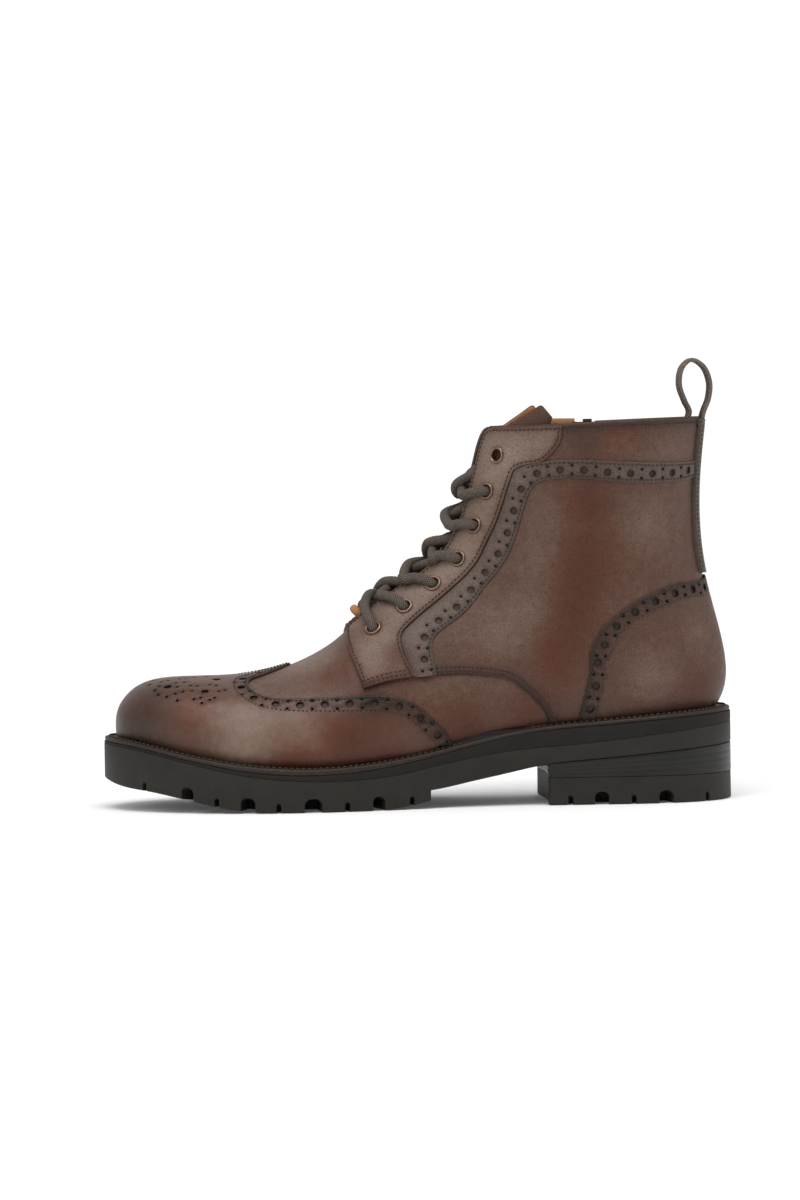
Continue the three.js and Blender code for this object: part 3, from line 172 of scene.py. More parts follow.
# Edges on one side of the boot, as points of section row and share of the section. A share
# runs from the top line (0) to the back seam or the middle under the foot (1).
FACING = [(12.45, 0.072), (13, 0.088), (15, 0.105), (18, 0.118), (22, 0.122), (25, 0.118),
          (26.1, 0.116), (26.6, 0.124), (26.88, 0.143), (27, 0.175)]
QUARTER_FRONT = [(12.45, 0.072), (12.36, 0.13), (12.35, 0.237), (12.5, 0.338), (12.65, 0.425)]
QUARTER_LOWER = [(12.65, 0.425), (13.45, 0.438), (14.15, 0.46), (14.7, 0.483), (15.25, 0.51),
                 (15.55, 0.53), (16.0, 0.568), (16.15, 0.617), (16.2, 0.69), (16.1, 0.85)]
EYESTAY_REAR = [(27, 0.478), (26.45, 0.483), (26.05, 0.465), (25.65, 0.43), (25.4, 0.362),
                (25.15, 0.33), (24.85, 0.323), (23.65, 0.302), (21.65, 0.272), (19.8, 0.257),
                (18.2, 0.249), (16.5, 0.254), (14.95, 0.28), (14.2, 0.307), (14.05, 0.355),
                (14.13, 0.459)]
BAND_REAR = [(25.80, 0.922), (25.42, 0.66), (25.25, 0.522), (24.98, 0.438), (24.8, 0.417),
             (24.35, 0.395), (23.25, 0.372), (20.85, 0.338), (18.0, 0.312), (16.15, 0.343),
             (15.1, 0.367), (14.85, 0.397), (14.65, 0.481)]
BAND_TOP_EDGE = [(25.45, 0.375), (25.66, 0.43), (25.82, 0.50), (25.92, 0.60), (26.15, 0.922)]
COUNTER_EDGE = [(16.62, 0.862), (16.75, 0.77), (17.4, 0.66), (18.4, 0.597), (19.4, 0.59),
                (20.85, 0.623), (22.1, 0.682), (23.15, 0.79), (23.7, 0.985)]
WING = [(10.3, 0.0), (9.95, 0.045), (9.55, 0.085), (9.12, 0.13), (9.0, 0.18), (9.1, 0.26), (9.5, 0.323),
        (10.3, 0.365), (11.35, 0.402), (12.4, 0.44), (13.35, 0.488), (13.9, 0.54),
        (14.15, 0.603), (14.35, 0.693), (14.45, 0.84)]
BACK_SEAM = 0.9985
BACKSTAY_SHARE = 0.925
BACKSTAY_FOOT = 23.74
PUNCH_PITCH = 11.2
WING_PITCH = 11.9
EYELET_HOLE = 3.1
EYELETS = [(13.35, 0.225), (14.65, 0.220), (16.15, 0.200), (18.55, 0.195), (21.75, 0.205),
           (24.00, 0.228), (25.65, 0.245)]
TONGUE = [(11.7, 0.16), (12.6, 0.21), (14, 0.25), (17, 0.28), (21, 0.31), (24, 0.34),
          (26, 0.385), (27, 0.425), (28, 0.425)]
TONGUE_TOP = [(0, 0.02), (0.5, 0.16), (0.72, 0.62), (0.85, 0.92), (1, 0.30)]

# Soft creases and hollows: start, middle and end as row and share, depth and
# half width
CREASES = [
    ((11.05, 0.16), (11.25, 0.27), (11.6, 0.36), -0.45, 3.2),
    ((11.6, 0.12), (11.75, 0.24), (12.0, 0.37), -0.35, 2.6),
    ((10.5, 0.22), (10.75, 0.30), (11.0, 0.36), -0.25, 3.0),
    ((12.9, 0.46), (13.1, 0.52), (13.6, 0.60), -0.30, 3.5),
    ((17.3, 0.33), (17.6, 0.45), (17.4, 0.58), -0.55, 6.5),
    ((19.6, 0.34), (19.9, 0.46), (19.4, 0.56), 0.35, 6.0),
    ((21.4, 0.38), (21.7, 0.52), (21.0, 0.66), -0.50, 6.0),
    ((23.3, 0.45), (23.6, 0.62), (23.2, 0.84), 0.30, 7.0),
    ((24.5, 0.50), (24.7, 0.68), (24.4, 0.90), -0.35, 5.0),
]

# Colour patches: row, share, radius, and how much redder and how much darker (below zero, a painted
# highlight)
PATCHES = [
    (7.1, 0.42, 12, 0.8, -0.10),
    (4.3, 0.40, 21, 0.0, 0.58),
    (2.0, 0.70, 16, 0.0, 0.40),
    (8.7, 0.565, 17, 0.1, -0.66),
    (10.6, 0.545, 13, 0.3, -0.40),
    (8.0, 0.80, 10, 0.3, -0.20),
    (12.1, 0.65, 12, 1.0, 0.35),
    (10.2, 0.74, 11, 1.0, 0.25),
    (13.1, 0.76, 9, 1.0, 0.20),
    (11.8, 0.33, 11, 0.9, 0.22),
    (12.3, 0.20, 9, 0.5, 0.10),
    (10.9, 0.10, 16, 0.0, -0.50),
    (12.9, 0.47, 11, 0.6, 0.50),
    (14.7, 0.76, 15, 1.0, 0.35),
    (15.9, 0.72, 11, 0.8, 0.20),
    (13.8, 0.58, 9, 0.4, 0.10),
    (24.7, 0.60, 12, 1.0, 0.25),
    (23.0, 0.57, 12, 1.0, 0.25),
    (21.4, 0.54, 12, 1.0, 0.25),
    (19.4, 0.53, 12, 1.0, 0.25),
    (17.6, 0.56, 13, 1.0, 0.15),
    (24.0, 0.48, 12, 0.1, -0.15),
    (24.5, 0.74, 14, 0.0, -0.30),
    (21.5, 0.66, 12, 0.2, -0.10),
    (16.6, 0.45, 15, 0.0, -0.28),
    (18.6, 0.43, 11, 0.1, -0.25),
    (22.0, 0.44, 11, 0.1, -0.20),
    (26.5, 0.655, 9, 1.0, -0.20),
    (26.3, 0.57, 7, 0.0, 0.40),
    (26.4, 0.80, 14, 0.1, -0.25),
    (19.2, 0.72, 14, 0.1, -0.36),
    (19.9, 0.84, 9, 1.0, 0.15),
    (21.9, 0.83, 9, 0.4, -0.25),
    (18.4, 0.90, 10, 0.5, 0.20),
    (13.3, 0.20, 9, 0.2, 0.45),
    (13.7, 0.37, 8, 0.3, 0.60),
    (25.4, 0.30, 10, 0.0, -0.45),
    (18.2, 0.19, 14, 0.0, -0.25),
]


# Curves

def natural_spline(xs, table):
    """Smooth curve through the rows of a table against xs."""
    xs = np.asarray(xs, float)
    table = np.asarray(table, float)
    count = len(xs)
    step = np.diff(xs)
    system = np.eye(count)
    load = np.zeros_like(table)
    for i in range(1, count - 1):
        system[i, i - 1:i + 2] = step[i - 1], 2 * (step[i - 1] + step[i]), step[i]
        load[i] = 6 * ((table[i + 1] - table[i]) / step[i] - (table[i] - table[i - 1]) / step[i - 1])
    bend = np.linalg.solve(system, load)

    def at(x):
        x = np.asarray(x, float)
        i = np.clip(np.searchsorted(xs, x, side="right") - 1, 0, count - 2)
        t = (x - xs[i])[..., None]
        h = step[i][..., None]
        slope = (table[i + 1] - table[i]) / h - h * (2 * bend[i] + bend[i + 1]) / 6
        return table[i] + t * slope + t * t * bend[i] / 2 + t**3 * (bend[i + 1] - bend[i]) / (6 * h)

    return at


def smooth_line(points, steps=14):
    """Curve through given points, without loops between close ones."""
    points = np.asarray(points, float)
    if len(points) == 2:
        return points[0] + np.linspace(0, 1, steps + 1)[:, None] * (points[1] - points[0])
    scale = METRIC[:points.shape[1]] if points.shape[1] == 2 else 1
    scaled = points * scale
    first = 2 * scaled[0] - scaled[1]
    last = 2 * scaled[-1] - scaled[-2]
    full = np.vstack([first, scaled, last])
    knots = np.concatenate([[0], np.cumsum(np.linalg.norm(np.diff(full, axis=0), axis=1) ** 0.5)])
    line = []
    for i in range(1, len(full) - 2):
        blend, k = full[i - 1:i + 3], knots[i - 1:i + 3]
        t = np.linspace(k[1], k[2], steps, endpoint=False)[:, None]
        for starts, ends in ((k[:3], k[1:]), (k[:2], k[2:]), (k[1:2], k[2:3])):
            blend = [((end - t) * one + (t - start) * two) / (end - start)
                     for start, end, one, two in zip(starts, ends, blend, blend[1:])]
        line.append(blend[0])
    return np.vstack(line + [scaled[-1:]]) / scale


def along(points, spacing):
    """Points at an even spacing along a line of points in space."""
    points = np.asarray(points, float)
    run = run_of(points)
    count = max(1, int(round(run[-1] / spacing)))
    return at_stops(np.linspace(0, run[-1], count + 1), run, points)


def ease(x):
    """Smooth step from 0 to 1."""
    x = np.clip(x, 0, 1)
    return x * x * (3 - 2 * x)


def unit(vectors):
    """The vectors at length one."""
    return vectors / (np.linalg.norm(vectors, axis=-1, keepdims=True) + 1e-12)


def run_of(points):
    """Length along a line of points, from its start to each point."""
    return np.concatenate([[0], np.cumsum(np.linalg.norm(np.diff(points, axis=0), axis=1))])


def at_stops(stops, run, line):
    """The line's values at stops along its run."""
    return np.stack([np.interp(stops, run, column) for column in line.T], -1)


def round_section(sides, radius=1.0):
    """Points round a circle."""
    turn = np.linspace(0, 2 * math.pi, sides, endpoint=False)
    return np.stack([np.cos(turn), np.sin(turn)], 1) * radius


# The last's surface. Row counts its sections from the toe; share runs from the top line (0)
# down the outer side (-1) or the inner side (+1), and past 1 onto the other side.

METRIC = np.array([8.0, 110.0])
last_at = natural_spline(np.arange(len(LAST)), LAST)
sole_at = natural_spline(SOLE_HEIGHTS[:, 0], SOLE_HEIGHTS[:, 1:])


def sole_column(index):
    """One of the sole's heights as a function of x."""
    return lambda x: sole_at(x)[..., index]


welt_top, welt_thick, mid_bottom, web_bottom = (sole_column(k) for k in range(4))


def welt_bottom(x):
    return welt_top(x) - welt_thick(x)


def ground_line(x):
    return np.maximum(sole_at(x)[..., 4], 0)


def last_point(row, share):
    row, share = np.broadcast_arrays(np.asarray(row, float), np.asarray(share, float))
    past = np.maximum(row - COLLAR, 0)[..., None]
    if past.max() > 0:
        top = last_point(np.minimum(row, COLLAR), share)
        below = last_point(np.minimum(row, COLLAR) - 0.5, share)
        return top + (top - below) * 2 * past
    share = (share + 1) % 2 - 1
    top_x, top_z, foot_x, foot_z, ridge, outer, inner, widest, *powers = np.moveaxis(
        last_at(np.maximum(row, 0)), -1, 0)
    top_flare, top_dome, foot_flare, foot_drop = powers
    v = np.abs(share)
    width = np.where(share < 0, -outer, inner)
    upper = np.clip(v / WIDEST_SHARE, 0, 1) * math.pi / 2
    lower = np.clip((v - WIDEST_SHARE) / (1 - WIDEST_SHARE), 0, 1) * math.pi / 2
    across_up = np.sin(upper) ** top_flare
    height_up = widest + (1 - widest) * np.clip(np.cos(upper), 0, 1) ** top_dome
    across_low = np.where(v > 0.9999, 0, np.clip(np.cos(lower), 0, 1) ** foot_flare)
    height_low = widest * (1 - np.sin(lower) ** foot_drop)
    across = np.where(v < WIDEST_SHARE, across_up, across_low)
    height = np.where(v < WIDEST_SHARE, height_up, height_low)
    return np.stack([
        foot_x + height * (top_x - foot_x),
        ridge + (width - ridge) * across,
        foot_z + height * (top_z - foot_z),
    ], -1)


def slopes(row, share):
    """How the surface moves with row and with share."""
    r = np.clip(row, 0.32, COLLAR - 0.05)
    backward = (last_point(r + 0.05, share) - last_point(r - 0.05, share)) / 0.1
    downward = (last_point(r, share + 0.004) - last_point(r, share - 0.004)) / 0.008
    return backward, downward


def last_normal(row, share):
    return unit(np.cross(*slopes(row, share)))


def off_last(row, share, height):
    row, share, height = np.broadcast_arrays(*(np.asarray(a, float) for a in (row, share, height)))
    return last_point(row, share) + last_normal(row, share) * height[..., None]


def on_surface(path, height=0.0):
    path = np.asarray(path, float)
    return off_last(path[:, 0], path[:, 1], height)


def step_on_last(path, move):
    """Moves points of row and share by vectors in space that lie along the surface."""
    backward, downward = slopes(path[:, 0], path[:, 1])
    aa = (backward**2).sum(-1)
    bb = (downward**2).sum(-1)
    ab = (backward * downward).sum(-1)
    am = (backward * move).sum(-1)
    bm = (downward * move).sum(-1)
    det = aa * bb - ab * ab
    return path + np.stack([(am * bb - bm * ab) / det, (bm * aa - am * ab) / det], 1)


def inset(path, distance):
    """The path moved to its left over the surface."""
    here = on_surface(path)
    tangent = unit(np.gradient(here, axis=0))
    left = np.cross(last_normal(path[:, 0], path[:, 1]), tangent)
    return step_on_last(path, left * distance)


def even(path, spacing):
    """The path with its points at an even spacing over the surface."""
    path = np.asarray(path, float)
    run = run_of(on_surface(path))
    count = max(1, int(round(run[-1] / spacing)))
    return at_stops(np.linspace(0, run[-1], count + 1), run, path)


FOOT_SINK = 0.5
FOOT_ROWS = np.linspace(0, COLLAR, 1351)


def _foot_line(side):
    low = np.full(len(FOOT_ROWS), 0.004)
    high = np.ones(len(FOOT_ROWS))

    def above(share):
        p = last_point(FOOT_ROWS, side * share)
        return p[:, 2] > welt_top(p[:, 0]) - FOOT_SINK

    whole = above(high)
    none = ~above(low)
    for _ in range(30):
        middle = (low + high) / 2
        up = above(middle)
        low = np.where(up, middle, low)
        high = np.where(up, high, middle)
    return np.where(whole, 1, np.where(none, 0, low))


FOOT = {side: _foot_line(side) for side in (LATERAL, MEDIAL)}
TOE_ROW = FOOT_ROWS[np.argmax(FOOT[LATERAL] > 0)]
HEEL_ROW = FOOT_ROWS[np.argmax(FOOT[LATERAL] >= 1)]


def foot_share(row, side):
    return np.interp(row, FOOT_ROWS, FOOT[side])


def foot_path(from_row, to_row, side):
    rows = np.linspace(from_row, to_row, 160)
    return np.stack([rows, side * foot_share(rows, side)], 1)


def signed(points, side):
    """A listed edge on one side of the boot, as a smooth path."""
    return smooth_line(points) * (1, side)


def locate_inner(x, z):
    """Row and share of the inner side's point seen at x, z from the side."""
    rows = np.linspace(12, COLLAR + 0.3, 900)
    shares = np.linspace(0.02, 0.99, 400)
    table = last_at(np.minimum(rows, COLLAR))
    cross = (x - table[:, 2]) * (table[:, 1] - table[:, 3]) - (z - table[:, 3]) * (
        table[:, 0] - table[:, 2])
    row = float(np.interp(0, -cross if cross[0] > cross[-1] else cross, rows))
    share = float(np.interp(x, last_point(row, shares)[:, 0], shares))
    return row, share


# Meshes

def put_in_scene(name, data):
    made = bpy.data.objects.new(name, data)
    bpy.context.scene.collection.objects.link(made)
    return made


def add_mesh(name, shape, finish, replaces=(), body=BOOT, worn_and_shaded=None, values=None, smooth=50):
    """A mesh object from a shape's points and faces in millimetres, riding on a body."""
    verts, faces = shape
    mesh = bpy.data.meshes.new(name)
    if worn_and_shaded is not None:
        none = np.zeros(len(verts))
        values = {"worn_and_shaded": none + worn_and_shaded, "red": none, "dark": none}
    mesh.from_pydata((np.asarray(verts) * MM).tolist(), [], [tuple(f) for f in faces])
    for key, value in (values or {}).items():
        layer = mesh.attributes.new(key, "FLOAT", "POINT")
        layer.data.foreach_set("value", np.asarray(value, np.float32))
    turned = bmesh.new()
    turned.from_mesh(mesh)
    bmesh.ops.recalc_face_normals(turned, faces=turned.faces)
    turned.to_mesh(mesh)
    turned.free()
    mesh.shade_smooth()
    if smooth:
        mesh.set_sharp_from_angle(angle=math.radians(smooth))
    mesh.materials.append(finish_of(finish))
    piece = put_in_scene(name, mesh)
    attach(piece, body)
    if replaces:
        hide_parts(*replaces)
    return piece


def nearest(samples, points):
    """Distance from each point to the nearest sample."""
    if len(samples) == 0:
        return np.full(len(points), 1e3)
    tree = kdtree.KDTree(len(samples))
    for i, sample in enumerate(samples):
        tree.insert(sample, i)
    tree.balance()
    return np.array([tree.find(p)[2] for p in points])


CREASE_SAMPLES = [
    (np.vstack([on_surface(even(smooth_line([a, b, c]) * (1, side), 1.5)) for side in (-1, 1)]),
     depth, half)
    for a, b, c, depth, half in CREASES
]
PATCH_POINTS = [
    (np.vstack([last_point(row, share * side) for side in (-1, 1)]), radius, red, dark)
    for row, share, radius, red, dark in PATCHES
]


def relief(points):
    """How far the soft creases move the leather, from its points on the last."""
    total = np.zeros(len(points))
    for samples, depth, half in CREASE_SAMPLES:
        gaps = np.full(len(points), 1e9)
        near = np.abs(points[:, None] - samples[None, ::6]).sum(-1).min(1) < 9 * half
        if near.any():
            gaps[near] = np.linalg.norm(points[near][:, None] - samples[None], axis=-1).min(1)
        total += depth * np.exp(-(gaps / half) ** 2)
    return total


def tints(points):
    """How much redder and darker the leather is at its points; darker below zero is a painted highlight.
    """
    red = np.zeros(len(points))
    dark = np.zeros(len(points))
    for centres, radius, redder, darker in PATCH_POINTS:
        gap = np.linalg.norm(points[:, None] - centres[None], axis=-1).min(1)
        share = np.exp(-(gap / radius) ** 2)
        red += redder * share
        dark += darker * share
    return red, dark


def hole_ring(centre, radius, sides):
    centre = np.repeat(np.asarray([centre], float), sides, 0)
    e1 = unit(slopes(centre[:, 0], centre[:, 1])[0])
    e2 = np.cross(last_normal(centre[:, 0], centre[:, 1]), e1)
    across, along_row = round_section(sides, radius).T[..., None]
    return step_on_last(centre, across * e1 + along_row * e2)


def _shoelace(loop):
    x, y = loop.T
    return float((x * np.roll(y, -1) - np.roll(x, -1) * y).sum())


def enclosed(points, rings):
    """Whether each point lies inside an odd number of the rings."""
    inside = np.zeros(len(points), bool)
    for ring in rings:
        low, high = ring.min(0), ring.max(0)
        near = np.where(((points > low) & (points < high)).all(1))[0]
        if len(near) == 0:
            continue
        x, y = points[near].T[..., None]
        x1, y1 = ring.T
        x2, y2 = np.roll(ring, -1, 0).T
        crosses = (y1 > y) != (y2 > y)
        reach = x1 + (y - y1) / np.where(y2 == y1, 1e-12, y2 - y1) * (x2 - x1)
        inside[near] ^= (crosses & (x < reach)).sum(1) % 2 == 1
    return inside


def panel(name, outline, low, high, finish, holes=(), replaces=(), spacing=2.1,
          seams=(1.5,), edge_dark=5.0, roll=0.4, shade=0.0):
    """A leather panel cut from the last's surface, with punched holes and turned edges.

    The outline is a list of paths of row and share with a flag for each finished edge;
    seams are the distances of its stitch grooves from such an edge.
    """
    if _shoelace(np.vstack([path for path, _ in outline]) * METRIC) < 0:
        outline = [(path[::-1], finished) for path, finished in reversed(outline)]
    rims = [even(path, 1.0) for path, _ in outline]
    loop = np.vstack([rim[:-1] for rim in rims])
    finished = [rim for rim, (_, flag) in zip(rims, outline) if flag]
    rim_points = np.vstack([on_surface(rim) for rim in finished]) if finished else np.zeros((0, 3))
    rows_in = [0.3, 0.75] + [s + d for s in seams for d in (-0.55, 0, 0.55)]
    extra = []
    for rim in finished:
        for distance in rows_in:
            moved = inset(rim, distance)
            extra.append(moved[nearest(rim_points, on_surface(moved)) > 0.88 * distance])
    rings, halos = ([hole_ring(centre, radius + more, 16 if radius > 1 else 9)
                     for centre, radius in holes] for more in (0, 0.4))
    (low_row, low_share), (high_row, high_share) = loop.min(0), loop.max(0)
    rows = np.linspace(low_row, high_row, 200)
    run = run_of(off_last(rows, (low_share + high_share) / 2, 0))
    lattice_rows = np.interp(np.arange(0, run[-1], spacing), run, rows)
    lattice_shares = np.arange(low_share, high_share, spacing / METRIC[1])
    lattice = np.stack(np.meshgrid(lattice_rows, lattice_shares, indexing="ij"), -1).reshape(-1, 2)
    fixed = [loop] + rings
    kept = np.vstack(fixed)
    soft = np.vstack([np.zeros((0, 2))] + extra + halos)
    soft = soft[nearest(on_surface(kept), on_surface(soft)) > 0.22]
    kept = np.vstack([kept, soft])
    lattice = lattice[nearest(on_surface(kept), on_surface(lattice)) > 0.62 * spacing]
    points = np.vstack([kept, lattice])
    edges = []
    for ring in fixed:
        start, count = len(edges), len(ring)
        edges += [(start + i, start + (i + 1) % count) for i in range(count)]
    flat = [Vector(p) for p in points * METRIC]
    out, _, faces, *_ = delaunay_2d_cdt(flat, edges, [], 2, 1e-6, False)
    path = np.array([tuple(p) for p in out]) / METRIC
    faces = np.array(faces)
    faces = faces[enclosed(path[faces].mean(1), fixed)]
    base = on_surface(path)
    normal = last_normal(path[:, 0], path[:, 1])
    gap = nearest(rim_points, base)
    lift = relief(base)
    top = high + lift - roll * (1 - ease(gap / 0.8)) ** 2
    for seam in seams:
        top -= SEAM_DEPTH * np.exp(-((gap - seam) / 0.5) ** 2)
    hole_gap = np.full(len(base), 1e3)
    for centre, radius in holes:
        hole_gap = np.minimum(hole_gap, np.linalg.norm(base - last_point(*centre), axis=1) - radius)
    top -= HOLE_DIP * (1 - ease(hole_gap / 0.4))
    red, dark = tints(base)
    worn_and_shaded = EDGE_WEAR * np.exp(-gap / edge_dark) + RIM_WEAR * np.exp(-gap / 0.9)
    # Painted shade: darker round each punched hole and down its wall.
    worn_and_shaded += HOLE_SHADE * np.exp(-np.maximum(hole_gap, 0) / 0.35)
    for seam in seams:
        worn_and_shaded += SEAM_WEAR * np.exp(-((gap - seam) / 0.45) ** 2)
    # Darker toward the welt.
    foot_gap = base[:, 2] - welt_top(base[:, 0])
    worn_and_shaded += WELT_DARKENING * np.exp(-np.maximum(foot_gap, 0) / 4)
    verts = np.vstack([base + normal * top[:, None], base + normal * (low + lift)[:, None]])
    count = len(base)
    sides = np.vstack([faces[:, [0, 1]], faces[:, [1, 2]], faces[:, [2, 0]]])
    known = set(map(tuple, sides.tolist()))
    walls = [(b, a, a + count, b + count) for a, b in sides.tolist() if (b, a) not in known]
    all_faces = faces.tolist() + (faces[:, ::-1] + count).tolist() + walls
    used = np.zeros(2 * count, bool)
    used[np.concatenate([np.asarray(f) for f in all_faces])] = True
    renumber = np.cumsum(used) - 1
    all_faces = [tuple(renumber[list(f)]) for f in all_faces]
    # The darkening holds real wear at edges and seams, painted shade at the holes, darkening toward the
    # welt, and below zero a painted highlight.
    values = {
        "worn_and_shaded": np.tile(np.clip(worn_and_shaded + shade, -1, 1.6), 2)[used],
        "red": np.tile(red, 2)[used],
        "dark": np.tile(dark, 2)[used],
    }
    return add_mesh(name, (verts[used], all_faces), finish, replaces, values=values)


def sweep(centres, sides, ups, sections, closed=False, capped=True):
    """Tube through stations; each section lists its points across and up.

    The directions across and up are one for each station, or one for all.
    """
    centres = np.asarray(centres, float)
    sides, ups = (np.broadcast_to(np.asarray(a, float), centres.shape) for a in (sides, ups))
    sections = np.asarray(sections, float)
    if sections.ndim == 2:
        sections = np.repeat(sections[None], len(centres), 0)
    verts = (centres[:, None] + sides[:, None] * sections[..., :1] + ups[:, None] * sections[..., 1:])
    stations, ring = verts.shape[:2]
    faces = []
    for i in range(stations if closed else stations - 1):
        faces += [face[::-1] for face in ring_faces(i * ring, (i + 1) % stations * ring, ring)]
    if capped and not closed:
        faces.append(tuple(range(ring)))
        faces.append(tuple(range((stations - 1) * ring, stations * ring))[::-1])
    return verts.reshape(-1, 3), faces


def ring_faces(a, b, count):
    """Quads between two rings of points that start at a and b."""
    return [(a + i, a + (i + 1) % count, b + (i + 1) % count, b + i) for i in range(count)]


def stacked(rings, close=True):
    """A solid through rings of points, capped at both ends or closed into a tube."""
    count = len(rings[0])
    starts = [k * count for k in range(len(rings))]
    faces = []
    for a, b in zip(starts, starts[1:] + ([] if close else starts[:1])):
        faces += ring_faces(a, b, count)
    if close:
        for k, upward in ((0, False), (-1, True)):
            ids = [starts[k] + i for i in range(count)]
            faces += [face[::-1] for face in cap_faces(rings[k], ids, upward)]
    return np.vstack(rings), faces


def joined(parts):
    """Several lists of verts and faces as one."""
    verts, faces, start = [], [], 0
    for part_verts, part_faces in parts:
        verts.append(np.asarray(part_verts))
        faces += [tuple(i + start for i in face) for face in part_faces]
        start += len(part_verts)
    return np.vstack(verts), faces


# Stitches

STITCH_SHARE = 0.70


def stitch_capsules(points, normals, radius, share=STITCH_SHARE):
    """Thread stitches along a line of points spaced by the pitch."""
    parts = []
    circle = round_section(6)
    for a, b, n in zip(points[:-1], points[1:], normals[:-1]):
        run = b - a
        length = np.linalg.norm(run)
        if length < 1e-6 or length > 8 * radius:
            continue
        t = run / length
        side = unit(np.cross(n, t))
        up = np.cross(t, side)
        stops = 0.5 + np.array([-0.5, -0.25, 0.25, 0.5]) * share
        lifts = np.array([-0.7, 0.35, 0.35, -0.7]) * radius
        widths = np.array([0.45, 1.0, 1.0, 0.45]) * radius
        centres = a + stops[:, None] * run + lifts[:, None] * up
        sections = circle[None] * widths[:, None, None]
        parts.append(sweep(centres, side, up, sections))
    return parts


def seam_stitches(path, distance, height):
    """Stitches beside a path over the last, at a height over it."""
    moved = even(inset(even(path, 1.0), distance), size("stitch_pitch"))
    base = on_surface(moved)
    normals = last_normal(moved[:, 0], moved[:, 1])
    return stitch_capsules(base + normals * (height + relief(base) - 0.02)[:, None], normals,
                           size("thread") / 2)


# Shader nodes

def group(name, inputs, outputs):
    tree = bpy.data.node_groups.new(name, "ShaderNodeTree")
    for label, kind, default in inputs:
        socket = tree.interface.new_socket(label, in_out="INPUT", socket_type=kind)
        socket.default_value = default
    for label, kind in outputs:
        tree.interface.new_socket(label, in_out="OUTPUT", socket_type=kind)
    return tree, tree.nodes.new("NodeGroupInput"), tree.nodes.new("NodeGroupOutput")


def node(tree, kind, inputs=None, **settings):
    made = tree.nodes.new(kind)
    for key, value in settings.items():
        setattr(made, key, value)
    feed(made, inputs or {})
    return made


def feed(made, values):
    """Links or sets a node's inputs, each given by its name or its place."""
    for key, value in values.items():
        if isinstance(value, bpy.types.NodeSocket):
            made.id_data.links.new(value, made.inputs[key])
        else:
            made.inputs[key].default_value = value


def calc(operation, a, b=0.0, clamp=False):
    """A maths node beside the first of its values that is a socket."""
    tree = (a if isinstance(a, bpy.types.NodeSocket) else b).id_data
    return node(tree, "ShaderNodeMath", {0: a, 1: b}, operation=operation,
                use_clamp=clamp).outputs[0]


def times(a, b, clamp=False):
    return calc("MULTIPLY", a, b, clamp)


def plus(a, b, clamp=False):
    return calc("ADD", a, b, clamp)


def minus(a, b, clamp=False):
    return calc("SUBTRACT", a, b, clamp)


def mix_colour(factor, a, b):
    made = node(factor.id_data, "ShaderNodeMix", data_type="RGBA")
    feed(made, {0: factor, 6: a, 7: b})
    return made.outputs[2]


def noise(place, scale, detail):
    """Cloudy noise at a place, from 0 to 1."""
    return node(place.id_data, "ShaderNodeTexNoise",
                {"Vector": place, "Scale": scale, "Detail": detail}).outputs[0]


def object_place(tree):
    """The place on the piece, in its own coordinates."""
    return node(tree, "ShaderNodeTexCoord").outputs["Object"]


def leather_grain_group():
    """Fine pebbled grain with pores, as a height."""
    tree, inside, outside = group(
        "leather grain",
        [("Size", "NodeSocketFloat", 1.0), ("Pores", "NodeSocketFloat", 0.4)],
        [("Height", "NodeSocketFloat"), ("Mask", "NodeSocketFloat")])
    place = object_place(tree)
    scale = calc("DIVIDE", 1250.0, inside.outputs["Size"])
    cells = node(tree, "ShaderNodeTexVoronoi", {"Vector": place, "Scale": scale},
                 feature="F1", distance="EUCLIDEAN")
    grit = noise(place, times(scale, 1.7), 2.0)
    swell = noise(place, times(scale, 0.22), 1.0)
    pores = times(cells.outputs["Distance"], inside.outputs["Pores"])
    height = plus(times(grit, 0.55), minus(swell, pores))
    feed(outside, {"Height": height, "Mask": cells.outputs["Distance"]})
    return tree


def burnish_group():
    """Hand-burnished colour: redder and darker patches, dark edges and cloudy mottling, with painted
    highlights and painted hole shade.
    """
    tree, inside, outside = group(
        "burnish",
        [("Base", "NodeSocketColor", (0.1, 0.05, 0.03, 1)),
         ("Dark", "NodeSocketColor", (0.02, 0.015, 0.012, 1)),
         ("Warm", "NodeSocketColor", (0.12, 0.03, 0.015, 1)),
         ("Pale", "NodeSocketColor", (0.2, 0.15, 0.12, 1)),
         ("Edge", "NodeSocketFloat", 1.0)],
        [("Color", "NodeSocketColor"), ("Worn and shaded", "NodeSocketFloat")])
    place = object_place(tree)
    cloud = noise(place, 28.0, 3.0)
    fleck = noise(place, 240.0, 3.0)
    red, dark, worn_and_shaded = (node(tree, "ShaderNodeAttribute", attribute_name=key).outputs["Fac"]
                       for key in ("red", "dark", "worn_and_shaded"))
    drift = times(minus(cloud, 0.5), 1.3)
    warm = plus(red, drift, clamp=True)
    colour = mix_colour(warm, inside.outputs["Base"], inside.outputs["Warm"])
    speck = times(minus(fleck, 0.5), 0.45)
    shade = plus(plus(times(worn_and_shaded, inside.outputs["Edge"]), dark), speck)
    # Shade below zero turns the colour toward the pale one: a painted highlight.
    lit = times(shade, -1.0, clamp=True)
    colour = mix_colour(lit, colour, inside.outputs["Pale"])
    shade = times(shade, 0.85, clamp=True)
    colour = mix_colour(shade, colour, inside.outputs["Dark"])
    feed(outside, {"Color": colour, "Worn and shaded": shade})
    return tree


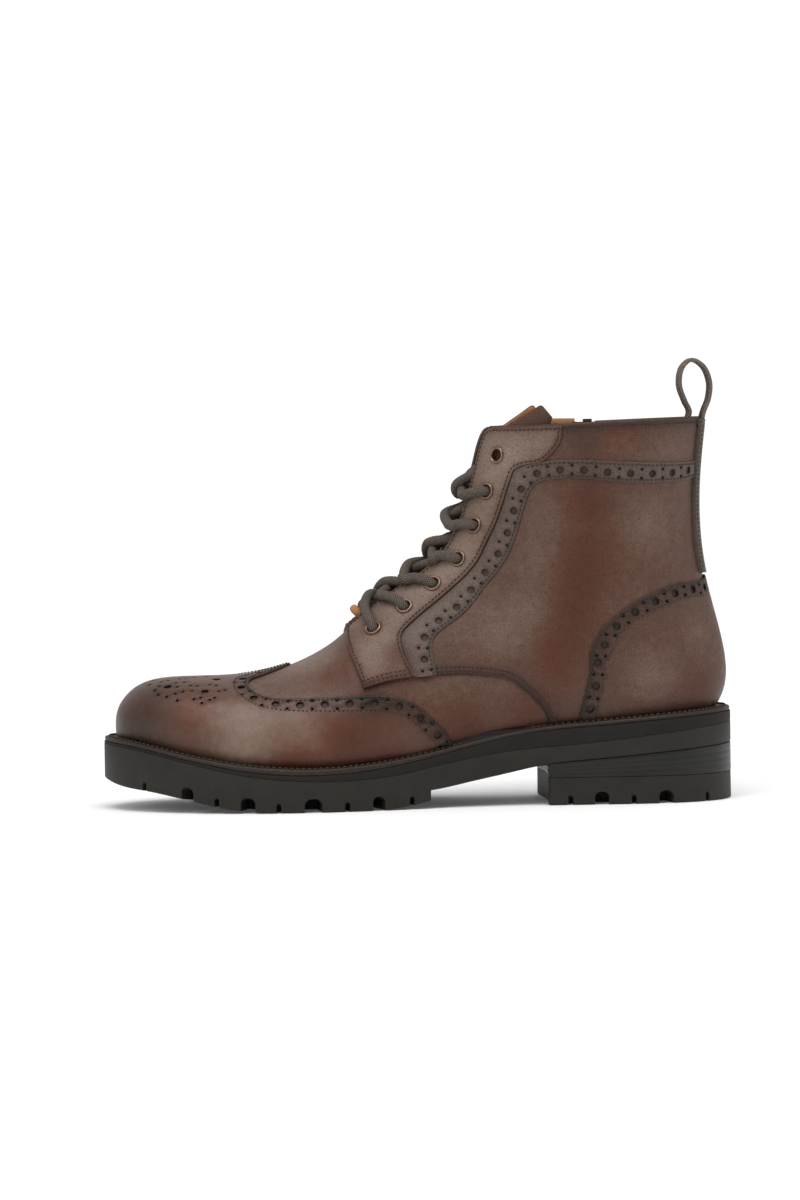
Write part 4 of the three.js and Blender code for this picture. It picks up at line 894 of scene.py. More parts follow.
def weave_group():
    """Crossed threads from a piece's own lengthwise and crosswise measure, as a height."""
    tree, inside, outside = group(
        "weave",
        [("Along", "NodeSocketFloat", 1.0), ("Across", "NodeSocketFloat", 1.0)],
        [("Height", "NodeSocketFloat"), ("Mask", "NodeSocketFloat")])
    flat = node(tree, "ShaderNodeSeparateXYZ",
                {"Vector": node(tree, "ShaderNodeUVMap", uv_map="threads").outputs[0]})
    u = times(flat.outputs["X"], inside.outputs["Across"])
    v = times(flat.outputs["Y"], inside.outputs["Along"])
    height = calc("ABSOLUTE", times(calc("SINE", plus(u, v)), calc("SINE", minus(u, v))))
    feed(outside, {"Height": height, "Mask": minus(1.0, height)})
    return tree


def rubber_group():
    """Moulded rubber: fine grit, faint drag lines and cloudy dust."""
    tree, inside, outside = group(
        "moulded rubber",
        [("Grit", "NodeSocketFloat", 1.0), ("Lines", "NodeSocketFloat", 0.0)],
        [("Height", "NodeSocketFloat"), ("Dust", "NodeSocketFloat")])
    place = object_place(tree)
    grit = noise(place, 1900.0, 3.0)
    stretch = node(tree, "ShaderNodeMapping", {"Vector": place, "Scale": (60, 60, 900)})
    lines = noise(stretch.outputs[0], 1.0, 2.0)
    dust = noise(place, 90.0, 5.0)
    height = plus(times(grit, inside.outputs["Grit"]), times(lines, inside.outputs["Lines"]))
    feed(outside, {"Height": height, "Dust": dust})
    return tree


GROUPS = {}


def shared(name, maker):
    if name not in GROUPS:
        GROUPS[name] = maker()
    return GROUPS[name]


def start_material(name, roughness=0.5, metallic=0.0, coat=0.0, coat_roughness=0.2, specular=0.5):
    material = bpy.data.materials.new(name)
    material.use_nodes = True
    tree = material.node_tree
    shader = tree.nodes["Principled BSDF"]
    feed(shader, {"Roughness": roughness, "Metallic": metallic, "Coat Weight": coat,
                  "Coat Roughness": coat_roughness, "Specular IOR Level": specular})
    return material, tree, shader


def placed(tree, group_tree, **values):
    made = node(tree, "ShaderNodeGroup", node_tree=group_tree)
    feed(made, values)
    return made


def bump(tree, shader, height, strength, distance):
    made = node(tree, "ShaderNodeBump", {"Height": height, "Strength": strength, "Distance": distance})
    feed(shader, {"Normal": made.outputs["Normal"]})


def leather(name, base, dark, warm, pale, edge=1.0, roughness=0.42, coat=0.06, grain=1.0,
            depth=1.0):
    material, tree, shader = start_material(name, roughness, coat=coat, coat_roughness=0.28,
                                            specular=0.22)
    tone = placed(tree, shared("burnish", burnish_group), Base=(*base, 1), Dark=(*dark, 1),
                  Warm=(*warm, 1), Pale=(*pale, 1), Edge=edge)
    skin = placed(tree, shared("grain", leather_grain_group), Size=grain, Pores=0.5)
    furrow = times(skin.outputs["Mask"], 0.5 * depth, clamp=True)
    colour = mix_colour(furrow, tone.outputs["Color"], (*dark, 1))
    gloss = times(tone.outputs["Worn and shaded"], 0.12)
    pits = times(skin.outputs["Mask"], 0.10)
    rough = plus(plus(gloss, pits), roughness - 0.04)
    feed(shader, {"Base Color": colour, "Roughness": rough})
    bump(tree, shader, skin.outputs["Height"], depth, 0.00032)
    return material


def rubber(name, base, dust, roughness=0.6, lines=0.4, depth=0.5):
    material, tree, shader = start_material(name, roughness, specular=0.3)
    mould = placed(tree, shared("rubber", rubber_group), Grit=1.0, Lines=lines)
    colour = mix_colour(times(mould.outputs["Dust"], 0.6), (*base, 1), (*dust, 1))
    feed(shader, {"Base Color": colour})
    bump(tree, shader, mould.outputs["Height"], depth, 0.00015)
    return material


def woven(name, base, light, along_threads, across_threads, roughness=0.85, depth=0.7):
    material, tree, shader = start_material(name, roughness, specular=0.25)
    threads = placed(tree, shared("weave", weave_group), Along=along_threads, Across=across_threads)
    fuzz = noise(object_place(tree), 900.0, 3.0)
    # The raised threads are painted paler than the hollows between them: a painted highlight on the thread
    # tops and painted shade between them.
    tone = times(threads.outputs["Height"], fuzz)
    colour = mix_colour(times(tone, 1.6, clamp=True), (*base, 1), (*light, 1))
    feed(shader, {"Base Color": colour})
    height = plus(threads.outputs["Height"], times(fuzz, 0.5))
    bump(tree, shader, height, depth, 0.0003)
    return material


def metal(name, base, tarnish, roughness=0.35):
    material, tree, shader = start_material(name, roughness, metallic=0.9)
    cloud = noise(object_place(tree), 700.0, 4.0)
    colour = mix_colour(cloud, (*base, 1), (*tarnish, 1))
    rough = plus(times(cloud, 0.25), roughness - 0.1)
    feed(shader, {"Base Color": colour, "Roughness": rough})
    bump(tree, shader, cloud, 0.15, 0.0002)
    return material


MATERIALS = {}


def finish_of(key):
    """The boot's finishes, each made once from the colours of the scene's settings."""
    if key in MATERIALS:
        return MATERIALS[key]
    look = bpy.context.scene.boot_colours
    base, dark, warm, pale, trim, lining, strip, sole = (tuple(c) for c in (
        look.leather, look.burnish, look.warm, look.pale, look.trim, look.lining, look.strip,
        look.rubber))
    makers = {
        "calf": lambda: leather("burnished calf", base, dark, warm, pale),
        "trim": lambda: leather("dark punched calf", trim, dark, warm, pale, edge=0.7,
                                roughness=0.46),
        "cap": lambda: leather("toe calf", base, dark, warm, pale, edge=0.9, roughness=0.36,
                               coat=0.08, depth=0.5),
        "lining": lambda: leather("tan lining", lining, (0.16, 0.07, 0.03), (0.5, 0.22, 0.08),
                                  (0.5, 0.3, 0.15), edge=0.3, roughness=0.6, coat=0.0),
        "strip": lambda: leather("grey-brown strip", strip, dark, strip, pale, edge=0.3,
                                 roughness=0.6, coat=0.0),
        "rubber": lambda: rubber("lug rubber", sole, (0.030, 0.025, 0.018)),
        "midsole": lambda: rubber("midsole rubber", (0.004, 0.0028, 0.002),
                                  (0.014, 0.0105, 0.0075), roughness=0.7, lines=0.9),
        "welt": lambda: leather("stitched welt", (0.028, 0.018, 0.013), dark,
                                (0.045, 0.022, 0.014), pale, edge=0.3, roughness=0.5,
                                grain=1.4),
        "bead": lambda: leather("feather bead", (0.095, 0.033, 0.018), dark, warm, pale,
                                edge=0.3, roughness=0.45),
        "welt thread": lambda: woven("welt thread", (0.035, 0.026, 0.019), (0.10, 0.075, 0.05),
                                     1, 1, roughness=0.7, depth=0.2),
        "stack": lambda: rubber("waxed heel stack", (0.006, 0.0055, 0.005), (0.022, 0.021, 0.018),
                                roughness=0.42, lines=1.4),
        "thread": lambda: woven("waxed thread", (0.035, 0.026, 0.02), (0.11, 0.09, 0.072), 1, 1,
                                roughness=0.6, depth=0.1),
        "lace": lambda: woven("braided lace", (0.036, 0.028, 0.022), (0.19, 0.15, 0.125), 2.4,
                              6.0),
        "webbing": lambda: woven("woven loop", (0.085, 0.066, 0.052), (0.26, 0.21, 0.17), 3.2, 3.2),
        "tape": lambda: woven("zip tape", (0.02, 0.015, 0.013), (0.06, 0.045, 0.04), 4.0, 4.0),
        "bronze": lambda: metal("antique bronze", (0.34, 0.22, 0.16), (0.13, 0.075, 0.05)),
    }
    MATERIALS[key] = makers[key]()
    return MATERIALS[key]


# Outlines of the panels

ZIP_X = 88.0
ZIP_BOTTOM = 94.0
ZIP_SLOT = 9.6


def straight(a, b, count=24):
    return np.linspace(np.asarray(a, float), np.asarray(b, float), count + 1)


def collar_path(side, from_share, to_share):
    """Path along the collar; on the inner side it goes round the zip's slot."""
    if side == LATERAL:
        return straight((COLLAR, side * from_share), (COLLAR, side * to_share), 60)
    front, rear = zip_edges()
    return np.vstack([
        straight((COLLAR, from_share), front[0], 40), front[1:], rear[::-1],
        straight(rear[0], (COLLAR, to_share), 40)[1:],
    ])


def zip_edges(clearance=0.0):
    """The two long edges of the zip's slot on the inner side, from the collar down."""
    heights = np.linspace(184.2, ZIP_BOTTOM - clearance, 36)
    lines = []
    for x in (ZIP_X - ZIP_SLOT / 2 - clearance, ZIP_X + ZIP_SLOT / 2 + clearance):
        line = np.array([locate_inner(x, z) for z in heights])
        line[0, 0] = COLLAR
        lines.append(line)
    return lines


def quarter_outline(side):
    back = straight((COLLAR, side * BACK_SEAM), (HEEL_ROW, side * BACK_SEAM), 60)
    return [
        (signed(FACING, side), True),
        (collar_path(side, FACING[-1][1], BACK_SEAM), True),
        (back, False),
        (foot_path(HEEL_ROW, QUARTER_LOWER[-1][0], side), False),
        (signed(QUARTER_LOWER[::-1], side), True),
        (signed(QUARTER_FRONT[::-1], side), True),
    ]


def eyestay_outline(side):
    lower = [p for p in QUARTER_LOWER if p[0] < 14.13] + [(14.13, 0.459)]
    return [
        (signed(FACING, side), True),
        (straight((COLLAR, side * FACING[-1][1]), (COLLAR, side * EYESTAY_REAR[0][1])), True),
        (signed(EYESTAY_REAR, side), True),
        (signed(lower[::-1], side), True),
        (signed(QUARTER_FRONT[::-1], side), True),
    ]


def band_front(side):
    return signed(BAND_TOP_EDGE[:1] + [(r, s + 0.004) for r, s in EYESTAY_REAR[5:]], side)


# Operators' work

def perforations(path, distance, pitch, start, spread=2.1):
    """Big holes along a band with a pair of small ones between them."""
    big, small = size("big_hole") / 2, size("small_hole") / 2
    line = inset(even(path, 1.0), distance)
    run = run_of(on_surface(line))
    holes = []
    while start < run[-1] - 2.5:
        holes.append((at_stops(start, run, line), big))
        between = start + pitch / 2
        if between < run[-1] - 2:
            middle = at_stops(between + np.array([-0.5, 0, 0.5]), run, line)
            holes += [(inset(middle, sign * spread)[1], small) for sign in (-1, 1)]
        start += pitch
    return holes


def band_outline(side):
    rear, front, top = signed(BAND_REAR, side), band_front(side), signed(BAND_TOP_EDGE, side)
    return [(rear, True), (straight(rear[-1], front[-1], 6), False), (front[::-1], True),
            (top, True), (straight(top[-1], rear[0], 6), True)]


def counter_outline():
    start = COUNTER_EDGE[0][0]
    halves = []
    for side, shift in ((LATERAL, 0), (MEDIAL, -2)):
        edge = signed(COUNTER_EDGE, side) + (0, shift)
        halves.append(np.vstack([[[start, side * foot_share(start, side) + shift]], edge]))
    foot = np.vstack([foot_path(start, HEEL_ROW, MEDIAL) - (0, 2),
                      foot_path(HEEL_ROW, start, LATERAL)[1:]])
    return [(np.vstack([halves[0], halves[1][::-1]]), True), (foot, False)]


def cap_outline():
    wing = {side: signed(WING, side) for side in (LATERAL, MEDIAL)}
    end = WING[-1][0]
    foot = {side: foot_path(end, TOE_ROW, side) for side in (LATERAL, MEDIAL)}
    for side in (LATERAL, MEDIAL):
        wing[side] = np.vstack([wing[side], [[end, side * foot_share(end, side)]]])
    return [(np.vstack([foot[LATERAL], foot[MEDIAL][::-1][1:]]), False),
            (wing[MEDIAL][::-1], True), (wing[LATERAL], True)]


def build_panels():
    for side, label in ((LATERAL, "lateral"), (MEDIAL, "medial")):
        eyelet_holes = [((row, side * share), EYELET_HOLE) for row, share in EYELETS]
        band = band_outline(side)
        panel(f"quarter-{label}", quarter_outline(side), VAMP_TOP + LEAF_GAP, QUARTER_TOP, "calf",
              holes=eyelet_holes, replaces=[f"quarter_{label}"], seams=(1.5, 3.3))
        # The eyestays are shaded below zero, painted paler: a painted highlight.
        panel(f"eyestay-{label}", eyestay_outline(side), QUARTER_TOP + LEAF_GAP, OVERLAY_TOP, "calf",
              holes=eyelet_holes, replaces=[f"eyestay_{label}"], spacing=1.8,
              shade=-0.75)
        holes = perforations(band[0][0], 4.3 * side, PUNCH_PITCH, 6.0)
        if side == LATERAL:
            panel(f"punched-band-{label}", band, QUARTER_TOP + LEAF_GAP, BAND_TOP, "trim",
                  holes=holes, replaces=[f"punched_band_{label}"], spacing=1.7,
                  seams=(1.3,), shade=-0.28)
        else:
            build_inner_bands(band, holes)
            holes = [hole for hole in holes if off_zip(last_point(*hole[0]))]
        build_hole_shade_discs(f"band-hole-shade-{label}", holes, QUARTER_TOP)


def build_hole_shade_discs(name, holes, floor):
    """Leather discs that close the bottom of the punched holes, darkened: painted shade in the holes."""
    circle = round_section(14)
    parts = []
    for (row, share), radius in holes:
        out = last_normal(row, share)
        first = unit(np.cross(out, (0.0, 0.0, 1.0)))
        base = off_last(row, share, floor)
        base = base + out * relief(last_point(row, share)[None])[0]
        parts.append(sweep([base - out * 0.12, base + out * 0.04], first, np.cross(out, first),
                           circle * (radius + 0.12)))
    # Darkened by the edge wear amount: painted shade at the hole bottoms.
    add_mesh(name, joined(parts), "calf", worn_and_shaded=EDGE_WEAR)


def build_inner_bands(outline, holes):
    """The inner side's band, in two pieces either side of the zip."""
    front, rear = zip_edges(0.4)
    for name, keep, replaces in (("punched-band-medial", -1, ["punched_band_medial"]),
                                 ("punched-band-heel-side", 1, ["punched_band_rear"])):
        edge = front if keep < 0 else rear
        pieces = clip_outline(outline, edge, keep)
        inside = [h for h in holes
                  if keep * (h[0][1] - np.interp(h[0][0], edge[::-1, 0], edge[::-1, 1])) > 0.02]
        panel(name, pieces, QUARTER_TOP + LEAF_GAP, BAND_TOP, "trim",
              holes=inside, replaces=replaces, spacing=1.7, seams=(1.3,), shade=-0.28)


def clip_outline(outline, edge, keep):
    """The part of an outline on one side of an edge that crosses it, closed along the edge."""
    loop = np.vstack([even(path, 0.8)[:-1] for path, _ in outline])
    limit = np.interp(loop[:, 0], edge[::-1, 0], edge[::-1, 1])
    inside = keep * (loop[:, 1] - limit) > 0
    inside |= (loop[:, 0] < 24.2) & (keep < 0)
    starts = np.where(inside & ~np.roll(inside, 1))[0]
    loop = np.roll(loop, -starts[0], axis=0)
    inside = np.roll(inside, -starts[0])
    kept = loop[inside]
    return [(kept, True), (straight(kept[-1], kept[0], 8), True)]


def build_toe_cap():
    outline = cap_outline()
    holes = medallion()
    for side in (LATERAL, MEDIAL):
        holes += perforations(signed(WING, side), 4.1 * side, WING_PITCH, 5.2, spread=2.2)
    panel("toe-cap", outline, VAMP_TOP + LEAF_GAP, CAP_TOP, "cap",
          holes=spaced(holes), replaces=["toe_cap"], seams=(1.5,), spacing=2.0, shade=0.05)
    build_hole_shade_discs("toe-hole-shade", spaced(holes), VAMP_TOP)


def spaced(holes):
    """The holes without those that would run into an earlier one."""
    kept = []
    for centre, radius in holes:
        here = last_point(*centre)
        if all(np.linalg.norm(here - last_point(*c)) > radius + r + 0.35 for c, r in kept):
            kept.append((np.asarray(centre), radius))
    return kept


MEDALLION_BIG = [(6.2, 0.213), (7.6, 0.272), (8.05, 0.115)]
MEDALLION_SMALL = [
    (5.5, 0.24), (5.6, 0.295), (6.0, 0.325), (5.8, 0.195), (5.95, 0.125), (6.3, 0.11),
    (6.6, 0.165), (6.62, 0.223), (6.45, 0.297), (6.45, 0.362), (6.8, 0.277), (7.15, 0.208),
    (7.15, 0.267), (7.15, 0.345), (7.38, 0.213), (7.4, 0.33), (7.4, 0.375), (7.7, 0.345),
    (7.88, 0.325), (8.05, 0.267), (8.25, 0.255), (7.8, 0.195), (8.0, 0.205), (7.75, 0.045),
    (6.8, 0.085), (7.05, 0.08), (7.35, 0.068), (6.95, 0.16), (5.1, 0.04), (5.6, 0.05),
    (4.55, 0.02), (5.3, 0.13),
]


def medallion():
    """The toe's pattern of punched holes, the same on both sides of the top line."""
    big, small = size("big_hole") / 2, size("small_hole") / 2
    holes = [((7.72, 0.0), big), ((6.95, 0.0), small)]
    for side in (LATERAL, MEDIAL):
        holes += [((row, side * share), big) for row, share in MEDALLION_BIG]
        holes += [((row, side * share), small) for row, share in MEDALLION_SMALL]
    return holes


def build_vamp():
    """The vamp under the toe cap and the quarters."""
    ahead = {side: signed([(max(r - 0.9, 0.5), s) for r, s in WING[1:]], side)
             for side in (LATERAL, MEDIAL)}
    rear = {side: signed([(12.45, 0.072), (13.2, 0.20), (13.9, 0.34), (15.2, 0.44), (16.6, 0.52),
                          (17.2, 0.66), (17.2, 0.85)], side) for side in (LATERAL, MEDIAL)}
    outline = []
    for side in (LATERAL, MEDIAL):
        ahead[side] = np.vstack([ahead[side], [[13.6, side * foot_share(13.6, side)]]])
        rear[side] = np.vstack([rear[side], [[17.2, side * foot_share(17.2, side)]]])
    outline = [
        (np.vstack([ahead[MEDIAL][::-1], ahead[LATERAL]]), False),
        (foot_path(13.6, 17.2, LATERAL), False),
        (rear[LATERAL][::-1], False),
        (straight(rear[LATERAL][0], rear[MEDIAL][0]), True),
        (rear[MEDIAL], False),
        (foot_path(17.2, 13.6, MEDIAL), False),
    ]
    panel("vamp", outline, LINING_FOOT, VAMP_TOP, "calf",
          replaces=["upper"], seams=(), spacing=2.0, shade=-0.1)


def build_lining():
    """The tan lining inside the shaft and the rear of the foot."""
    front, rear = zip_edges()
    outer = [
        (signed(FACING, LATERAL), True),
        (straight((COLLAR, -FACING[-1][1]), (COLLAR, -1.0), 60), True),
        (np.vstack([straight((COLLAR, -1.0), (COLLAR, rear[0][1] - 2), 30), rear[1:] - (0, 2),
                    front[::-1] - (0, 2),
                    straight(front[0] - (0, 2), (COLLAR, FACING[-1][1] - 2), 30)[1:]]), True),
        ((signed(FACING[::-1], MEDIAL) - (0, 2)), True),
    ]
    foot_in = foot_path(12.45, HEEL_ROW, MEDIAL) - (0, 2)
    foot_out = foot_path(HEEL_ROW, 12.45, LATERAL)
    outer += [
        (straight((12.45, FACING[0][1] - 2), foot_in[0], 40), False),
        (foot_in, False),
        (foot_out, False),
        (straight(foot_out[-1], (12.45, -FACING[0][1]), 40), False),
    ]
    eyelet_holes = [((row, -share), EYELET_HOLE) for row, share in EYELETS]
    eyelet_holes += [((row, share - 2), EYELET_HOLE) for row, share in EYELETS]
    panel("lining", outer, LINING_FOOT - 0.02, -0.35, "lining",
          holes=eyelet_holes, seams=(), spacing=2.6, edge_dark=1.0)


def build_counter():
    outline = counter_outline()
    holes = perforations(outline[0][0], -4.2, PUNCH_PITCH, 9.0)
    panel("heel-counter", outline, QUARTER_TOP + LEAF_GAP, OVERLAY_TOP, "calf",
          holes=holes, replaces=["counter"], spacing=2.0, shade=0.05)
    build_hole_shade_discs("counter-hole-shade", holes, QUARTER_TOP)


def build_backstay():
    rows = (BACKSTAY_FOOT, COLLAR)
    left = straight((rows[1], -BACKSTAY_SHARE), (rows[0], -BACKSTAY_SHARE), 60)
    right = straight((rows[0], BACKSTAY_SHARE - 2), (rows[1], BACKSTAY_SHARE - 2), 60)
    outline = [(left, True), (straight(left[-1], right[0], 12), False), (right, True),
               (straight(right[-1], left[0], 12), True)]
    panel("backstay-strip", outline, QUARTER_TOP + LEAF_GAP, STRIP_TOP, "strip",
          replaces=["backstay"], spacing=1.6, shade=-0.1)


def build_tongue():
    tongue_leaf("padded-tongue", -3.05, -3.85, 0.0, "calf", ["tongue"])
    tongue_leaf("tongue-lining", -3.9, -4.65, 0.03, "lining", [])


def tongue_leaf(name, high, low, longer, finish, replaces):
    """One leaf of the tongue between two heights, standing over the collar at its corners."""
    table = np.array(TONGUE)
    rise = np.array(TONGUE_TOP)
    rows = np.concatenate([np.linspace(11.7, COLLAR, 90),
                           COLLAR + np.linspace(0.08, 1 + longer, 14)])
    across = np.linspace(-1, 1, 61)
    row, place = (grid.ravel() for grid in np.meshgrid(rows, across, indexing="ij"))
    base = np.minimum(row, COLLAR)
    share = np.interp(base, table[:, 0], table[:, 1]) * place
    row_up = base + (row - base) * np.interp(np.abs(place), rise[:, 0], rise[:, 1])
    edge = 1 - np.abs(place)
    end = np.minimum(1, (rows[-1] - row) / 0.2)
    round_off = 0.5 * (1 - np.minimum(1, np.minimum(edge / 0.06, end)) ** 0.5)
    puff = 0.1 * np.sin(row * 1.7) * (1 - place**2)
    top = off_last(row_up, share, high - round_off + puff)
    bottom = off_last(row_up, share, low + round_off)
    count, width = len(top), len(across)
    grid = np.arange(count).reshape(-1, width)
    quads = np.stack([grid[:-1, :-1], grid[1:, :-1], grid[1:, 1:], grid[:-1, 1:]], -1).reshape(-1, 4)
    rim = np.concatenate([grid[:-1, 0], grid[-1, :-1], grid[:0:-1, -1], grid[0, :0:-1]])
    following = np.roll(rim, -1)
    walls = np.stack([rim, rim + count, following + count, following], 1)
    faces = np.vstack([quads, quads[:, ::-1] + count, walls]).tolist()
    red, dark = tints(top)
    values = {"worn_and_shaded": np.tile(0.5 * np.exp(-edge * 8), 2), "red": np.tile(red, 2),
              "dark": np.tile(dark, 2)}
    add_mesh(name, (np.vstack([top, bottom]), faces), finish,
             replaces, values=values, smooth=60)


# The sole

def sole_loop(step=1.3):
    """The sole's edge as an even loop of points, from the toe tip round the outer side."""
    points = np.vstack([OUTLINE[-2:], OUTLINE, OUTLINE[:3]])
    line = smooth_line(np.column_stack([points, np.zeros(len(points))]), 20)
    start = int(np.argmin(np.linalg.norm(line[:, :2] - OUTLINE[0], axis=1)[:80]))
    line = line[start:, :2]
    end = int(np.argmin(np.linalg.norm(line[200:] - OUTLINE[0], axis=1))) + 200
    return along(line[:end + 1], step)[:-1]


def loop_normals(loop):
    tangent = unit(np.roll(loop, -1, 0) - np.roll(loop, 1, 0))
    return np.stack([-tangent[:, 1], tangent[:, 0]], 1)


def cap_faces(ring, ids, upward):
    """Triangles over a closed ring of points."""
    flat = [Vector((x, y, 0)) for x, y, _ in ring]
    out = []
    for a, b, c in tessellate_polygon([flat]):
        turn = (flat[b] - flat[a]).cross(flat[c] - flat[a]).z
        corners = (ids[a], ids[b], ids[c])
        out.append(corners if (turn > 0) == upward else corners[::-1])
    return out


def ledge(loop, inward, move, height):
    """A ring of points moved inward from a loop, at a height or a function of x."""
    flat = loop + inward * np.broadcast_to(move, (len(loop),))[:, None]
    z = height(flat[:, 0]) if callable(height) else np.broadcast_to(height, (len(loop),))
    return np.column_stack([flat, z])


def layered(loop, rings, close=True):
    """A solid between rings of a loop: each ring gives an inset and a height."""
    inward = loop_normals(loop)
    return stacked([ledge(loop, inward, *ring) for ring in rings], close)


def with_notches(loop, from_x, to_x):
    """The loop with doubled stations at the notches, and each station's depth and reach."""
    closed = np.vstack([loop, loop[:1]])
    run = run_of(closed)
    marks = []
    half = len(loop) // 2
    for x, width, depth, reach in NOTCHES:
        if not from_x < x < to_x:
            continue
        for part in (slice(0, half + 1), slice(half, len(closed))):
            xs = closed[part, 0]
            order = np.argsort(xs)
            at = float(np.interp(x, xs[order], run[part][order]))
            marks.append((at - width / 2, at + width / 2, depth, reach))
    stations = [(s, 0.0, 0.0) for s in run[:-1]
                if not any(m[0] - 0.25 < s < m[1] + 0.25 for m in marks)]
    for low, high, depth, reach in marks:
        stations += [(low - 0.01, 0.0, 0.0), (high + 0.01, 0.0, 0.0)]
        for share in np.linspace(0, 1, 9):
            arch = 0.62 + 0.38 * (1 - abs(2 * share - 1) ** 3.5)
            stations.append((low + share * (high - low), depth * arch, reach))
    stations.sort()
    at, depths, reaches = np.array(stations).T
    return at_stops(at, run, closed), depths, reaches


def box_mesh(low, high, z_low, z_high):
    """A tread bar with slanted sides: its foot follows one height and its root another."""
    rings = []
    for z, grow in ((z_high, 1.2), (z_low, 0.0)):
        xs = np.linspace(low[0], high[0], 4)
        xs[[0, -1]] += -grow, grow
        ys = np.repeat([low[1] - grow, high[1] + grow], 4)
        xs = np.concatenate([xs, xs[::-1]])
        rings.append(np.column_stack([xs, ys, z(xs)]))
    count = len(rings[0])
    faces = ring_faces(0, count, count)
    faces += [tuple(range(count))[::-1], tuple(range(count, 2 * count))]
    return np.vstack(rings), faces


def heel_loop(loop):
    """The rear part of the sole's edge, closed across the front of the heel."""
    rear = loop[loop[:, 0] > HEEL_BREAST]
    across = np.linspace(rear[-1, 1], rear[0, 1], 26)[1:-1]
    bow = 1.8 * np.cos((across - across.mean()) / np.abs(across - across.mean()).max() * math.pi / 2)
    breast = np.column_stack([np.full(len(across), HEEL_BREAST) + bow, across])
    return np.vstack([rear, breast])


def build_sole():
    loop = sole_loop()
    welt_rings = [
        (0.9, lambda x: welt_bottom(x) + 0.05),
        (0.5, lambda x: welt_bottom(x) + 0.3),
        (0.35, lambda x: welt_bottom(x) + 0.9),
        (0.45, lambda x: welt_top(x) - 0.7),
        (0.8, lambda x: welt_top(x) - 0.2),
        (1.5, welt_top),
        (2.1, lambda x: welt_top(x) - 0.12),
        (2.7, welt_top),
        (10, welt_top),
        (10, lambda x: welt_bottom(x) + 0.05),
    ]
    add_mesh("welt-strip", layered(loop, welt_rings, close=False), "welt", ["welt"],
             worn_and_shaded=PLAIN_WEAR)
    mid_rings = [
        (0.6, lambda x: welt_bottom(x) - 0.02),
        (0.12, lambda x: welt_bottom(x) - 0.25),
        (0.0, lambda x: welt_bottom(x) - 0.8),
        (0.0, lambda x: mid_bottom(x) + 0.5),
        (0.10, lambda x: mid_bottom(x) + 0.1),
        (0.4, lambda x: mid_bottom(x) + 0.02),
    ]
    add_mesh("midsole-slab", layered(loop, mid_rings), "midsole", ["midsole"])
    build_outsole(loop)
    build_heel(heel_loop(loop))


def build_outsole(loop):
    tuck = 0.3 * (1 - ease((loop[:, 0] - LUG_END + 6) / 7))
    web_rings = [
        (tuck + 0.4, lambda x: mid_bottom(x) - 0.02),
        (tuck + 0.1, lambda x: mid_bottom(x) - 0.12),
        (tuck, lambda x: mid_bottom(x) - 0.5),
        (tuck, lambda x: web_bottom(x) + 0.8),
        (tuck + 0.4, lambda x: web_bottom(x) + 0.2),
        (tuck + 1.0, web_bottom),
    ]
    parts = [layered(loop, web_rings)]
    front, depths, reaches = with_notches(loop, -400, LUG_END)
    keep = front[:, 0] < LUG_END
    first = int(np.argmin(keep))
    last = len(keep) - int(np.argmin(keep[::-1]))
    order = np.concatenate([np.arange(last, len(keep)), np.arange(0, first)])
    parts.append(lug_strip(front[order], depths[order], reaches[order]))
    for x in TREAD_BARS:
        root = lambda xs: web_bottom(xs) + 1.5
        foot = lambda xs: ground_line(xs) + 0.4
        parts.append(box_mesh((x - 3.5, -21), (x + 3.5, 21), foot, root))
        parts.append(box_mesh((x - 8, -3.5), (x + 8, 3.5), foot, root))
    add_mesh("lug-outsole", joined(parts), "rubber", ["outsole"])


def lug_strip(loop, depths, reaches):
    """The forefoot's lugs: an open horseshoe of lugs closed at both rear ends."""
    tangent = unit(np.gradient(loop, axis=0))
    inward = np.stack([-tangent[:, 1], tangent[:, 0]], 1)
    smooth_in = inward.copy()
    for _ in range(4):
        smooth_in[1:-1] = (smooth_in[:-2] + smooth_in[1:-1] + smooth_in[2:]) / 3
    inward = unit(smooth_in)
    cut = depths > 0
    reach = np.where(cut, reaches, 6.0)
    edge = 0.8
    count = len(loop)
    rings = [
        (1.2, lambda x: mid_bottom(x) - 0.5),
        (0.3, lambda x: mid_bottom(x) - 0.04),
        (0.08, lambda x: mid_bottom(x) - 0.14),
        (0.0, lambda x: mid_bottom(x) - 0.5),
        (0.0, lambda x: ground_line(x) + depths + edge),
        (0.25, lambda x: ground_line(x) + depths + edge * 0.3),
        (edge, lambda x: ground_line(x) + depths),
        (reach - 0.4, lambda x: ground_line(x) + depths),
        (reach, ground_line),
        (HOLLOW_INSET - 0.6, ground_line),
        (HOLLOW_INSET, lambda x: ground_line(x) + 0.6),
        (HOLLOW_INSET + 0.2, lambda x: web_bottom(x) + 2.0),
    ]
    stack = np.stack([ledge(loop, inward, *ring) for ring in rings], 1)
    ring_count = len(rings)
    faces = []
    for i in range(count - 1):
        faces += ring_faces(i * ring_count, (i + 1) * ring_count, ring_count)
    faces.append(tuple(range(ring_count)))
    faces.append(tuple((count - 1) * ring_count + k for k in range(ring_count))[::-1])
    return stack.reshape(-1, 3), faces


